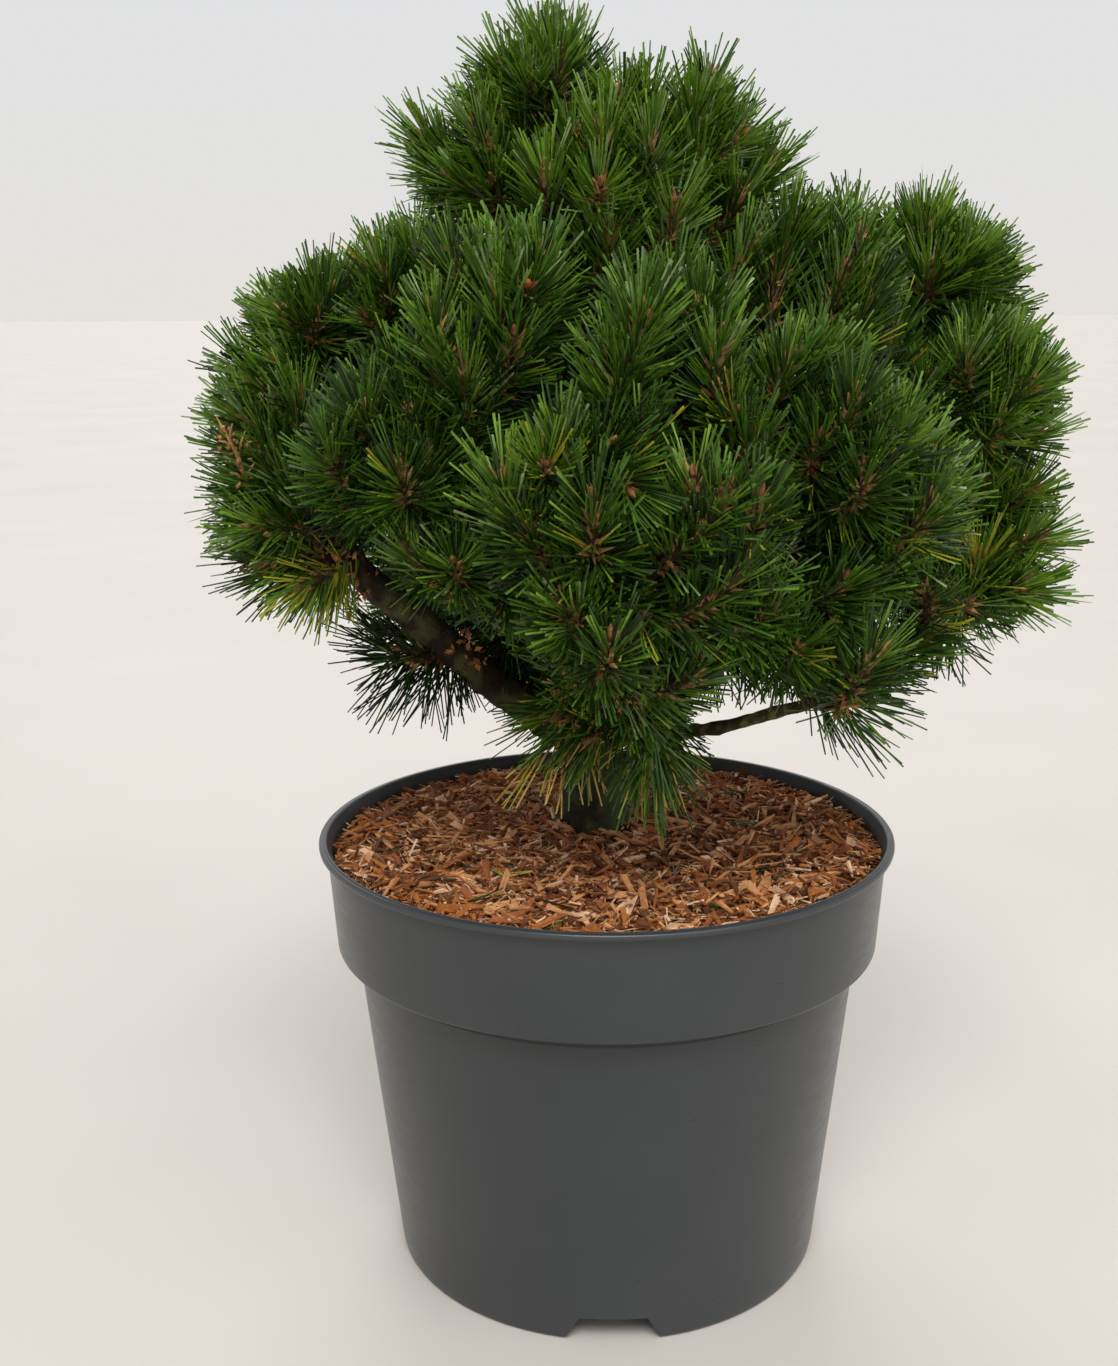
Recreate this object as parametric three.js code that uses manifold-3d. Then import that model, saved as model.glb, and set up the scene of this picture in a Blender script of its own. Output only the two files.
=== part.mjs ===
// A young mugo pine in a round nursery pot: a short flared trunk that runs up as a
// leader, boughs that fan out from it, and masses of needles that make up the crown.
// Millimetres, +Z up. The origin is the centre of the pot's underside; +X is the
// plant's right as seen from its front, and -Y is its front.
import * as THREE from "three";
import { mergeVertices } from "three/addons/utils/BufferGeometryUtils.js";
import Module from "manifold-3d";

const wasm = await Module();
wasm.setup();

// ---- driving dimensions -------------------------------------------------

const GAP = 0.4; // clear space kept between neighbouring solids

const POT = {
  sides: 26,
  wall: 2.0, // wall of the body and the collar
  floor: 3.0, // thickness of the base plate
  footRadius: 97.2, // outer radius where the pot meets the ground
  bodyTopRadius: 115.8, // outer radius just under the collar
  bodyTopZ: 144.4,
  collarLowRadius: 124.7,
  collarLowZ: 146.4,
  collarTopRadius: 128.7, // just under the rolled lip
  lipRadius: 132.3,
  lipHeight: 3.4,
  lipWidth: 3.6,
  height: 194,
};

// Drainage channels under the base plate. Each one leaves the wall as a notch.
const CHANNEL = {
  angles: [-90, 30, 150], // degrees, seen from above
  height: 10.8,
  widthLow: 41,
  widthHigh: 29,
  corner: 3, // rounding of the notch's corners
  roof: 2.5, // plate over the channel
  innerRadius: 24, // a flat hub is left in the middle of the base
  holeRadius: 4.5, // drain holes through the roof
  holesAt: [48, 76], // their distances from the pot's axis
};

const SOIL = { topZ: 171.5 };
const MULCH = { topZ: 187, mound: 2.2, roughness: 1.4 };

// Trunk: centre line and radius at heights above the ground.
const TRUNK = {
  sides: 12,
  // [x, y, z, radius]
  stations: [
    [-3, 22, 172, 24],
    [-3, 21.5, 178, 19.5],
    [-3.5, 21, 186, 16.5],
    [-4.5, 20, 197, 14.6],
    [-6, 17, 220, 13.4],
    [-7.5, 13, 250, 12.2],
    [-9, 9, 290, 10.4],
    [-11, 6, 340, 8.4],
    [-13.5, 3, 400, 6.4],
    [-16, 0, 450, 4.8],
    [-18, -4, 512, 3.0],
  ],
  ribs: 5, // root buttresses that fade out above the ground
  ribDepth: 0.16,
};

// Boughs: where each one leaves the trunk, a bend point, where it heads, and its
// radii at the two ends. They stop at the first mass of needles on their way.
const BOUGH_SIDES = 7;
const BOUGH_RINGS = 4;
const BOUGHS = [
  // name, height on trunk, bend [x, y, z], heads for [x, y, z], radius from, to
  ["bough_left", 226, [-52, -8, 262], [-136, -44, 352], 8.6, 5.6],
  ["bough_right_low", 232, [58, -34, 246], [112, -58, 276], 3.6, 2.7],
  ["bough_right", 258, [86, 4, 268], [182, -8, 338], 7.6, 4.4],
  ["bough_right_upper", 296, [76, 4, 322], [164, -16, 402], 6.6, 4.0],
  ["bough_shoulder_right", 334, [66, 14, 372], [156, 12, 450], 5.6, 3.6],
  ["bough_shoulder_left", 306, [-72, 2, 344], [-131, -4, 432], 6.0, 3.8],
  ["bough_front", 250, [-4, -50, 268], [-12, -124, 352], 7.2, 4.4],
  ["bough_front_right", 286, [38, -36, 306], [78, -90, 392], 5.8, 3.8],
  ["bough_front_left", 274, [-42, -34, 296], [-80, -90, 384], 6.0, 3.8],
  ["bough_back", 262, [16, 74, 290], [22, 146, 365], 7.0, 4.4],
  ["bough_back_left", 242, [-58, 46, 274], [-122, 78, 360], 7.2, 4.4],
  ["bough_back_right", 280, [66, 50, 306], [138, 88, 362], 6.6, 4.2],
];

// Masses of needles: name, centre [x, y, z], half sizes [x, y, z].
const MASSES = [
  ["mass_apex", [-18, -5, 532], [38, 48, 46]],
  ["mass_crest_left", [-49, -11, 502], [42, 54, 46]],
  ["mass_crest_front", [0, -49, 486], [46, 52, 46]],
  ["mass_crest_right", [44, -11, 497], [42, 54, 47]],
  ["mass_crest_back", [-4, 50, 492], [61, 51, 53]],
  ["mass_shoulder_right_inner", [88, -36, 446], [48, 60, 49]],
  ["mass_shoulder_right", [148, 12, 442], [52, 62, 49]],
  ["mass_right_upper", [155, -17, 399], [51, 66, 48]],
  ["mass_heart_left", [-39, -87, 432], [56, 66, 52]],
  ["mass_heart_right", [19, -102, 419], [50, 64, 48]],
  ["mass_shoulder_left", [-122, -4, 425], [49, 62, 45]],
  ["mass_left_recess", [-80, -33, 438], [45, 58, 46]],
  ["mass_left_outer", [-134, -23, 390], [50, 66, 46]],
  ["mass_left_lower", [-130, -36, 355], [52, 64, 43]],
  ["mass_front_left", [-77, -86, 384], [48, 64, 46]],
  ["mass_front_middle", [-12, -121, 374], [48, 62, 46]],
  ["mass_front_right", [35, -119, 371], [46, 62, 48]],
  ["mass_right_front", [78, -87, 392], [48, 66, 48]],
  ["mass_right_middle", [112, -68, 366], [46, 66, 50]],
  ["mass_right_outer", [173, -7, 338], [53, 64, 51]],
  ["mass_right_low", [148, -36, 311], [47, 56, 38]],
  ["mass_low_left", [-58, -92, 337], [48, 60, 41]],
  ["mass_skirt_left", [-124, -48, 318], [40, 50, 28]],
  ["mass_hanging_left", [-86, -30, 268], [34, 40, 25]],
  ["mass_low_front", [-1, -113, 330], [48, 62, 42]],
  ["mass_low_front_right", [46, -106, 324], [44, 60, 45]],
  ["mass_low_right", [89, -79, 320], [46, 58, 46]],
  ["mass_under_front", [13, -72, 281], [44, 52, 35]],
  ["mass_foot_tuft", [-4, -46, 237], [36, 36, 23]],
  ["mass_hanging_right", [110, -60, 266], [26, 34, 26]],
  ["mass_back_shoulder_left", [-84, 71, 434], [63, 61, 57]],
  ["mass_back_shoulder_right", [88, 81, 438], [65, 61, 57]],
  ["mass_back_heart", [4, 116, 421], [61, 59, 57]],
  ["mass_back_left", [-122, 69, 362], [59, 65, 57]],
  ["mass_back_right", [136, 81, 362], [63, 65, 57]],
  ["mass_back_middle", [10, 140, 356], [73, 55, 53]],
  ["mass_back_low_left", [-78, 100, 307], [63, 57, 45]],
  ["mass_back_low_right", [80, 109, 306], [67, 59, 45]],
];
const MASS = {
  bigSize: 64, // half size from which a mass gets the finest facets
  smallSize: 41, // and below which it gets the coarsest
  lumps: 11,
  lumpHeight: 0.25,
  lumpSharpness: 11,
};

// Solids' colours: [colour, roughness]
const FINISH = {
  pot: [0x4b4e51, 0.42],
  soil: [0x2a211a, 0.95],
  mulch: [0x96603a, 0.85],
  bark: [0x4a3a2c, 0.9],
  needles: [0x35671f, 0.6],
};

// ---- helpers ------------------------------------------------------------

// A repeatable sequence of numbers in 0..1.
function sequence(seed) {
  let s = seed >>> 0;
  return () => {
    s = (s + 0x6d2b79f5) >>> 0;
    let t = s;
    t = Math.imul(t ^ (t >>> 15), t | 1);
    t ^= t + Math.imul(t ^ (t >>> 7), t | 61);
    return ((t ^ (t >>> 14)) >>> 0) / 4294967296;
  };
}

function bare(geometry) {
  const g = geometry.clone();
  g.deleteAttribute("normal");
  g.deleteAttribute("uv");
  return mergeVertices(g, 1e-3);
}

function solid(geometry) {
  const g = bare(geometry);
  return new wasm.Manifold(
    new wasm.Mesh({
      numProp: 3,
      vertProperties: new Float32Array(g.attributes.position.array),
      triVerts: new Uint32Array(g.index.array),
    }),
  );
}

function geometryOf(body) {
  const mesh = body.getMesh();
  const positions = new Float32Array(mesh.numVert * 3);
  for (let i = 0; i < mesh.numVert; i++)
    for (let k = 0; k < 3; k++)
      positions[3 * i + k] = mesh.vertProperties[mesh.numProp * i + k];
  const g = new THREE.BufferGeometry();
  g.setAttribute("position", new THREE.BufferAttribute(positions, 3));
  g.setIndex(new THREE.BufferAttribute(new Uint32Array(mesh.triVerts), 1));
  const flat = g.toNonIndexed();
  flat.computeVertexNormals();
  return flat;
}

const group = new THREE.Group();
function add(name, geometry, finish) {
  const [color, roughness] = FINISH[finish];
  const mesh = new THREE.Mesh(
    geometry,
    new THREE.MeshStandardMaterial({ color, roughness, metalness: 0 }),
  );
  mesh.name = name;
  group.add(mesh);
}

// A turned solid round the Z axis. profile: [radius, z] pairs from the axis, at the
// bottom, round the outside, and back to the axis at the top.
function turned(profile, sides) {
  const g = new THREE.LatheGeometry(
    profile.map(([r, z]) => new THREE.Vector2(r, z)),
    sides,
  );
  g.rotateX(Math.PI / 2); // the lathe's axis is Y; stand it up
  return g;
}

// A round bar laid along a curve, its radius given by radiusAt(t, angle).
function limb(curve, sides, rings, radiusAt) {
  const g = new THREE.CylinderGeometry(1, 1, 1, sides, rings, false);
  const frames = curve.computeFrenetFrames(rings, false);
  const p = g.attributes.position;
  for (let i = 0; i < p.count; i++) {
    const t = Math.min(1, Math.max(0, p.getY(i) + 0.5));
    const ring = Math.round(t * rings);
    const angle = Math.atan2(p.getZ(i), p.getX(i));
    const onAxis = Math.hypot(p.getX(i), p.getZ(i)) < 1e-6;
    const r = onAxis ? 0 : radiusAt(ring / rings, angle);
    const c = curve.getPoint(ring / rings);
    const n = frames.normals[ring];
    const b = frames.binormals[ring];
    c.addScaledVector(n, r * Math.cos(angle)).addScaledVector(b, -r * Math.sin(angle));
    p.setXYZ(i, c.x, c.y, c.z);
  }
  return g;
}

// ---- pot ----------------------------------------------------------------

const innerFoot = POT.footRadius - POT.wall;
const innerBodyTop = POT.bodyTopRadius - POT.wall;
const innerCollarLow = POT.collarLowRadius - POT.wall;
const innerCollarTop = POT.collarTopRadius - POT.wall;
const stepInnerZ = POT.collarLowZ + POT.wall;
const lipLowZ = POT.height - POT.lipHeight;

const potShell = solid(
  turned(
    [
      [0, 0],
      [POT.footRadius, 0],
      [POT.bodyTopRadius, POT.bodyTopZ],
      [POT.collarLowRadius - 1, POT.bodyTopZ + 1],
      [POT.collarLowRadius, POT.collarLowZ],
      [POT.collarTopRadius, lipLowZ],
      [POT.lipRadius, lipLowZ + 0.6],
      [POT.lipRadius, POT.height - 1.2],
      [POT.lipRadius - 1.2, POT.height],
      [POT.lipRadius - POT.lipWidth, POT.height],
      [innerCollarTop, POT.height - 1.5],
      [innerCollarLow, stepInnerZ],
      [innerBodyTop, stepInnerZ - 1],
      [innerFoot, POT.floor],
      [0, POT.floor],
    ],
    POT.sides,
  ),
);

// The channel's section: a trapezium with rounded upper corners, wider by `grow`.
function channelSection(grow, low) {
  const a = CHANNEL.widthLow / 2 + grow;
  const b = CHANNEL.widthHigh / 2 + grow;
  const h = CHANNEL.height + grow;
  const r = CHANNEL.corner;
  const s = new THREE.Shape();
  const k = (a - b) / CHANNEL.height;
  s.moveTo(-a - k * -low, low);
  s.lineTo(a + k * -low, low);
  s.lineTo(b + k * r, h - r);
  s.quadraticCurveTo(b, h, b - r, h);
  s.lineTo(-b + r, h);
  s.quadraticCurveTo(-b, h, -b - k * r, h - r);
  s.closePath();
  return s;
}

// A bar of that section lying along a radius of the pot, from r0 to r1.
function channelBar(angle, grow, low, r0, r1) {
  const g = new THREE.ExtrudeGeometry(channelSection(grow, low), {
    depth: r1 - r0,
    bevelEnabled: false,
    curveSegments: 2,
  });
  g.rotateX(Math.PI / 2); // the section stands up, the bar runs along -Y
  g.translate(0, -r0, 0);
  g.rotateZ(THREE.MathUtils.degToRad(angle + 90));
  return solid(g);
}

// The space inside the pot, drawn in by `inset` from its walls, up to height z.
function potInside(inset, z0, z1) {
  const slope = (innerBodyTop - innerFoot) / (stepInnerZ - 1 - POT.floor);
  const collarSlope = (innerCollarTop - innerCollarLow) / (POT.height - 1.5 - stepInnerZ);
  const atBody = (z) => innerFoot + slope * (z - POT.floor) - inset;
  const atCollar = (z) => innerCollarLow + collarSlope * (z - stepInnerZ) - inset;
  const profile = [[0, z0]];
  if (z0 < stepInnerZ - 1) {
    profile.push([atBody(z0), z0]);
    profile.push([atBody(stepInnerZ - 1), stepInnerZ - 1 + inset]);
    profile.push([atCollar(stepInnerZ), stepInnerZ + 2 * inset]);
  } else profile.push([atCollar(z0), z0]);
  profile.push([atCollar(z1), z1]);
  profile.push([0, z1]);
  return profile;
}

let pot = potShell;
const inside = solid(turned(potInside(-0.5, POT.floor - 0.5, 60), POT.sides));
for (const angle of CHANNEL.angles) {
  const roof = channelBar(angle, CHANNEL.roof, 0, CHANNEL.innerRadius - CHANNEL.roof, POT.footRadius + 10);
  pot = pot.add(roof.intersect(inside));
}
for (const angle of CHANNEL.angles) {
  pot = pot.subtract(channelBar(angle, 0, -1, CHANNEL.innerRadius, POT.footRadius + 20));
  for (const r of CHANNEL.holesAt) {
    const drill = new THREE.CylinderGeometry(CHANNEL.holeRadius, CHANNEL.holeRadius, 20, 8);
    drill.rotateX(Math.PI / 2);
    const a = THREE.MathUtils.degToRad(angle);
    drill.translate(r * Math.cos(a), r * Math.sin(a), CHANNEL.height);
    pot = pot.subtract(solid(drill));
  }
}

// The moulding is divided where its simple shapes meet: the base plate with the
// channels' roofs, the wall under the collar, and the collar with its lip.
const seamZ = POT.bodyTopZ - 0.2;
const above = solid(new THREE.BoxGeometry(400, 400, 400)).translate([0, 0, 200]);
const below = solid(new THREE.BoxGeometry(400, 400, 400)).translate([0, 0, -200]);
const footSlope = (innerBodyTop - innerFoot) / (stepInnerZ - 1 - POT.floor);
const footCore = (inset) => {
  const radius = (z) => innerFoot + footSlope * (z - POT.floor) - inset;
  const top = CHANNEL.height + CHANNEL.roof + 4;
  return solid(turned([[0, -1], [radius(-1), -1], [radius(top), top], [0, top]], POT.sides));
};
const wall = pot.subtract(footCore(-GAP / 2));
add("pot_floor", geometryOf(pot.intersect(footCore(GAP / 2))), "pot");
add("pot_body", geometryOf(wall.intersect(below.translate([0, 0, seamZ]))), "pot");
add("pot_collar", geometryOf(wall.intersect(above.translate([0, 0, seamZ + GAP]))), "pot");

// ---- root ball and mulch ------------------------------------------------

let ball = solid(turned(potInside(GAP, POT.floor + GAP, SOIL.topZ), POT.sides));
for (const angle of CHANNEL.angles)
  ball = ball.subtract(
    channelBar(angle, CHANNEL.roof + GAP, -1, CHANNEL.innerRadius - CHANNEL.roof - GAP, POT.footRadius + 20),
  );
add("root_ball", geometryOf(ball), "soil");

const [trunkX, trunkY] = TRUNK.stations[0];

// The mulch lies on the soil, a little higher round the trunk and uneven on top.
const mulchProfile = potInside(GAP, SOIL.topZ + GAP, MULCH.topZ);
mulchProfile.pop();
const mulchRim = mulchProfile[mulchProfile.length - 1][0];
for (const k of [0.72, 0.42]) mulchProfile.push([mulchRim * k, MULCH.topZ]);
mulchProfile.push([0, MULCH.topZ]);
const mulchGeometry = bare(turned(mulchProfile, POT.sides));
{
  const p = mulchGeometry.attributes.position;
  const random = sequence(11);
  for (let i = 0; i < p.count; i++) {
    if (p.getZ(i) < MULCH.topZ - 1e-3) continue;
    const far = Math.hypot(p.getX(i) - trunkX, p.getY(i) - trunkY) / mulchRim;
    const mound = MULCH.mound * Math.exp(-6 * far * far);
    p.setZ(i, MULCH.topZ + mound + MULCH.roughness * (random() - 0.6));
  }
}

// ---- trunk --------------------------------------------------------------

function trunkBody(grow) {
  const rings = TRUNK.stations.length - 1;
  const g = new THREE.CylinderGeometry(1, 1, 1, TRUNK.sides, rings, false);
  const p = g.attributes.position;
  for (let i = 0; i < p.count; i++) {
    const ring = Math.round((p.getY(i) + 0.5) * rings);
    const [x, y, z, r0] = TRUNK.stations[ring];
    const angle = Math.atan2(p.getZ(i), p.getX(i));
    const onAxis = Math.hypot(p.getX(i), p.getZ(i)) < 1e-6;
    const fade = Math.exp(-(z - TRUNK.stations[0][2]) / 30);
    const rib = 1 + TRUNK.ribDepth * fade * Math.cos(TRUNK.ribs * angle + 0.8);
    const r = onAxis ? 0 : r0 * rib + grow;
    const top = ring === rings ? grow : 0;
    p.setXYZ(i, x + r * Math.cos(angle), y - r * Math.sin(angle), z + top);
  }
  return solid(g);
}
const trunk = trunkBody(0);
const trunkRoom = trunkBody(GAP).add(trunkBody(GAP).translate([0, 0, -3]));
add("mulch", geometryOf(solid(mulchGeometry).subtract(trunkRoom)), "mulch");
add("trunk", geometryOf(trunk), "bark");

// ---- masses of needles --------------------------------------------------

// Reach of the plain ellipsoid of a mass along a unit direction.
function reach([, , [a, b, c]], d) {
  return 1 / Math.sqrt((d.x / a) ** 2 + (d.y / b) ** 2 + (d.z / c) ** 2);
}

const centreOf = (m) => new THREE.Vector3(...m[1]);

// Walls between a mass and each neighbour that it would run into.
function wallsOf(index) {
  const me = MASSES[index];
  const walls = [];
  MASSES.forEach((other, j) => {
    if (j === index) return;
    const u = centreOf(other).sub(centreOf(me));
    const far = u.length();
    u.normalize();
    const a = reach(me, u) * 1.12;
    const b = reach(other, u.clone().negate()) * 1.12;
    if (a + b > far * 0.8) walls.push([u, (far * a) / (a + b)]);
  });
  return walls;
}

// One mass: a ball drawn out into rounded lumps, flattened where it meets its
// neighbours. `grow` makes it larger all over.
function massBody(index, grow) {
  const m = MASSES[index];
  const random = sequence(101 + 17 * index);
  const lumps = [];
  for (let i = 0; i < MASS.lumps; i++) {
    // spread the lumps over the sphere by the golden angle, then shake them
    const z = 1 - (2 * (i + 0.5)) / MASS.lumps;
    const a = i * 2.39996 + random() * 1.2;
    const s = Math.sqrt(1 - z * z);
    lumps.push([
      new THREE.Vector3(s * Math.cos(a), s * Math.sin(a), z + 0.3 * (random() - 0.5)).normalize(),
      0.5 + 0.5 * random(),
    ]);
  }
  const walls = wallsOf(index);
  const size = Math.max(...m[2]);
  const ball =
    size >= MASS.bigSize
      ? new THREE.IcosahedronGeometry(1, 2)
      : size >= MASS.smallSize
        ? new THREE.OctahedronGeometry(1, 3)
        : new THREE.IcosahedronGeometry(1, 1);
  ball.rotateX(random() * 6).rotateZ(random() * 6); // so that no two share a pattern
  const g = bare(ball);
  const p = g.attributes.position;
  const d = new THREE.Vector3();
  const c = centreOf(m);
  for (let i = 0; i < p.count; i++) {
    d.fromBufferAttribute(p, i).normalize();
    let lift = 0;
    for (const [u, h] of lumps) lift = Math.max(lift, h * Math.exp(MASS.lumpSharpness * (u.dot(d) - 1)));
    let r = reach(m, d) * (1 - MASS.lumpHeight + MASS.lumpHeight * lift + 0.05);
    for (const [u, t] of walls) {
      const k = u.dot(d);
      if (k > 1e-3) r = Math.min(r, (t - GAP / 2) / k);
    }
    r += grow;
    p.setXYZ(i, c.x + d.x * r, c.y + d.y * r, c.z + d.z * r);
  }
  return solid(g);
}

// ---- boughs -------------------------------------------------------------

const roomForMasses = MASSES.map((_, i) => massBody(i, GAP));

function boughBody([, z0, bend, end, r0, r1], grow) {
  const s = TRUNK.stations;
  let i = 1;
  while (s[i][2] < z0) i++;
  const t = (z0 - s[i - 1][2]) / (s[i][2] - s[i - 1][2]);
  const start = new THREE.Vector3(
    s[i - 1][0] + t * (s[i][0] - s[i - 1][0]),
    s[i - 1][1] + t * (s[i][1] - s[i - 1][1]),
    z0,
  );
  const curve = new THREE.QuadraticBezierCurve3(start, new THREE.Vector3(...bend), new THREE.Vector3(...end));
  return solid(limb(curve, BOUGH_SIDES, BOUGH_RINGS, (t) => r0 + (r1 - r0) * t + grow));
}

let limbsRoom = trunkRoom;
for (const b of BOUGHS) {
  let body = boughBody(b, 0).subtract(limbsRoom);
  for (const room of roomForMasses) body = body.subtract(room);
  // of the stretches left between masses, keep the one that starts at the trunk
  const [bx, by, bz] = TRUNK.stations[0];
  let best = null;
  let nearest = Infinity;
  for (const piece of body.decompose()) {
    const box = piece.boundingBox();
    const cx = (box.min[0] + box.max[0]) / 2 - bx;
    const cy = (box.min[1] + box.max[1]) / 2 - by;
    const cz = (box.min[2] + box.max[2]) / 2 - bz;
    const far = Math.hypot(cx, cy, cz);
    if (piece.volume() > 20 && far < nearest) {
      nearest = far;
      best = piece;
    }
  }
  if (!best) throw new Error(b[0] + " is inside the masses");
  add(b[0], geometryOf(best), "bark");
  limbsRoom = limbsRoom.add(boughBody(b, GAP));
}

MASSES.forEach((m, i) => {
  let body = massBody(i, 0).subtract(trunkRoom);
  add(m[0], geometryOf(body), "needles");
});

export default group;
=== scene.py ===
"""Looks of a young mugo pine in a round nursery pot.

Metres, +Z up, -Y towards the viewer. Helper tables are in millimetres where they say so.
"""

import math

import bmesh
import bpy
import numpy as np
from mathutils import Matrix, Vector
from mathutils.bvhtree import BVHTree


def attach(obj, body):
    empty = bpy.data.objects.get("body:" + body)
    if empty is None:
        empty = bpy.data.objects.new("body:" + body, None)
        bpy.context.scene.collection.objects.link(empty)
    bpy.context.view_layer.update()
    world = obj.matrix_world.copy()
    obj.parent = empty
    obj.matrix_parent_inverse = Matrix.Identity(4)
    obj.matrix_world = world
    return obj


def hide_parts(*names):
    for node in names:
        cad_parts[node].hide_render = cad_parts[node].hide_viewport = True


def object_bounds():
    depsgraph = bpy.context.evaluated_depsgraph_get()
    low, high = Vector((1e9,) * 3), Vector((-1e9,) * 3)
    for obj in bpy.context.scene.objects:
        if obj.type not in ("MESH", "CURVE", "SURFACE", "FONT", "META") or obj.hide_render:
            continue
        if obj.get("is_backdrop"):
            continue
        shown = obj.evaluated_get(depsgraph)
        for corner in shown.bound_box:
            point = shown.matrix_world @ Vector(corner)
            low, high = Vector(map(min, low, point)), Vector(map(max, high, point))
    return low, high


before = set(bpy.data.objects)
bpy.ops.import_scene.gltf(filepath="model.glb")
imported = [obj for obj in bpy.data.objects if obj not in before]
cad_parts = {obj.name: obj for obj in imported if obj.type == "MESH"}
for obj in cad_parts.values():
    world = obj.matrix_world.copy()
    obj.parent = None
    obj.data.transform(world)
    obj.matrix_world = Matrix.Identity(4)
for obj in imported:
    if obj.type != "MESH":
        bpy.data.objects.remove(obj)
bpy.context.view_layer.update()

scene = bpy.context.scene
MM = 0.001
UP = np.array([0.0, 0.0, 1.0])


def srgb(r, g, b):
    """sRGB 0..255 to a linear colour."""
    out = []
    for c in (r, g, b):
        c /= 255.0
        out.append(c / 12.92 if c <= 0.04045 else ((c + 0.055) / 1.055) ** 2.4)
    return (*out, 1.0)


def unit(v):
    v = np.asarray(v, float)
    return v / np.maximum(np.linalg.norm(v, axis=-1, keepdims=True), 1e-12)


# ---- mesh building --------------------------------------------------------


def mesh_object(name, verts, tris, smooth=False):
    me = bpy.data.meshes.new(name)
    verts = np.ascontiguousarray(verts, np.float32)
    tris = np.ascontiguousarray(tris, np.int32)
    me.vertices.add(len(verts))
    me.vertices.foreach_set("co", verts.ravel())
    me.loops.add(tris.size)
    me.loops.foreach_set("vertex_index", tris.ravel())
    me.polygons.add(len(tris))
    me.polygons.foreach_set("loop_start", np.arange(0, tris.size, 3, dtype=np.int32))
    me.polygons.foreach_set("use_smooth", np.full(len(tris), smooth))
    me.update(calc_edges=True)
    ob = bpy.data.objects.new(name, me)
    scene.collection.objects.link(ob)
    return ob


class Heap:
    """Collects triangles of many small things that end up as one mesh."""

    def __init__(self):
        self.v, self.t, self.n = [], [], 0

    def add(self, verts, tris):
        verts = np.asarray(verts, float).reshape(-1, 3)
        self.v.append(verts)
        self.t.append(np.asarray(tris, int).reshape(-1, 3) + self.n)
        self.n += len(verts)

    def done(self, name, smooth=False):
        if not self.v:
            return None
        return mesh_object(name, np.concatenate(self.v), np.concatenate(self.t), smooth)

    def count(self):
        return sum(len(t) for t in self.t)


def side_vectors(d, rng=None):
    """Two unit vectors square to each direction in d (N, 3)."""
    ref = np.where(np.abs(d[:, 2:3]) < 0.9, UP, np.array([1.0, 0.0, 0.0]))
    u = unit(np.cross(d, ref))
    v = np.cross(d, u)
    if rng is not None:
        a = rng.uniform(0, 2 * np.pi, (len(d), 1))
        u, v = u * np.cos(a) + v * np.sin(a), v * np.cos(a) - u * np.sin(a)
    return u, v


def tube(points, radii, sides, closed_tip=True):
    """A closed tube along points (n, 3) with radii (n,) or (n, sides)."""
    points = np.asarray(points, float)
    n = len(points)
    tang = np.empty_like(points)
    tang[1:-1] = points[2:] - points[:-2]
    tang[0], tang[-1] = points[1] - points[0], points[-1] - points[-2]
    tang = unit(tang)
    u = np.empty_like(points)
    ref = np.array([0.0, 1.0, 0.0]) if abs(tang[0, 1]) < 0.9 else np.array([1.0, 0, 0])
    u[0] = unit(np.cross(tang[0], ref))
    for i in range(1, n):
        w = u[i - 1] - tang[i] * np.dot(u[i - 1], tang[i])
        u[i] = unit(w)
    v = np.cross(tang, u)
    a = np.arange(sides) * 2 * np.pi / sides
    r = np.asarray(radii, float)
    if r.ndim == 1:
        r = np.repeat(r[:, None], sides, 1)
    ring = (
        points[:, None, :]
        + r[:, :, None] * (np.cos(a)[None, :, None] * u[:, None, :] + np.sin(a)[None, :, None] * v[:, None, :])
    )
    verts = ring.reshape(-1, 3)
    i, j = np.meshgrid(np.arange(n - 1), np.arange(sides), indexing="ij")
    k = (j + 1) % sides
    q0, q1, q2, q3 = i * sides + j, i * sides + k, (i + 1) * sides + k, (i + 1) * sides + j
    tris = np.concatenate(
        [np.stack([q0, q1, q2], -1).reshape(-1, 3), np.stack([q0, q2, q3], -1).reshape(-1, 3)]
    )
    caps = []
    for s in range(1, sides - 1):
        caps.append([0, s + 1, s])
        if closed_tip:
            e = (n - 1) * sides
            caps.append([e, e + s, e + s + 1])
    tris = np.concatenate([tris, np.array(caps)])
    return verts, tris


# ---- smooth value noise (arrays) -----------------------------------------


def _hash(ix, iy, iz, seed):
    h = (ix * 374761393 + iy * 668265263 + iz * 2147483647 + seed * 1274126177) & 0xFFFFFFFF
    h = ((h ^ (h >> 13)) * 1274126177) & 0xFFFFFFFF
    h = h ^ (h >> 16)
    return (h & 0xFFFF) / 65535.0


def noise(p, seed=0):
    """Value noise 0..1 at points p (N, 3), one cell per unit."""
    p = np.asarray(p, float)
    f = np.floor(p)
    i = f.astype(np.int64)
    t = p - f
    t = t * t * (3 - 2 * t)
    out = 0.0
    for dx in (0, 1):
        for dy in (0, 1):
            for dz in (0, 1):
                w = (
                    (t[:, 0] if dx else 1 - t[:, 0])
                    * (t[:, 1] if dy else 1 - t[:, 1])
                    * (t[:, 2] if dz else 1 - t[:, 2])
                )
                out = out + w * _hash(i[:, 0] + dx, i[:, 1] + dy, i[:, 2] + dz, seed)
    return out


# ---- materials ------------------------------------------------------------


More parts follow.
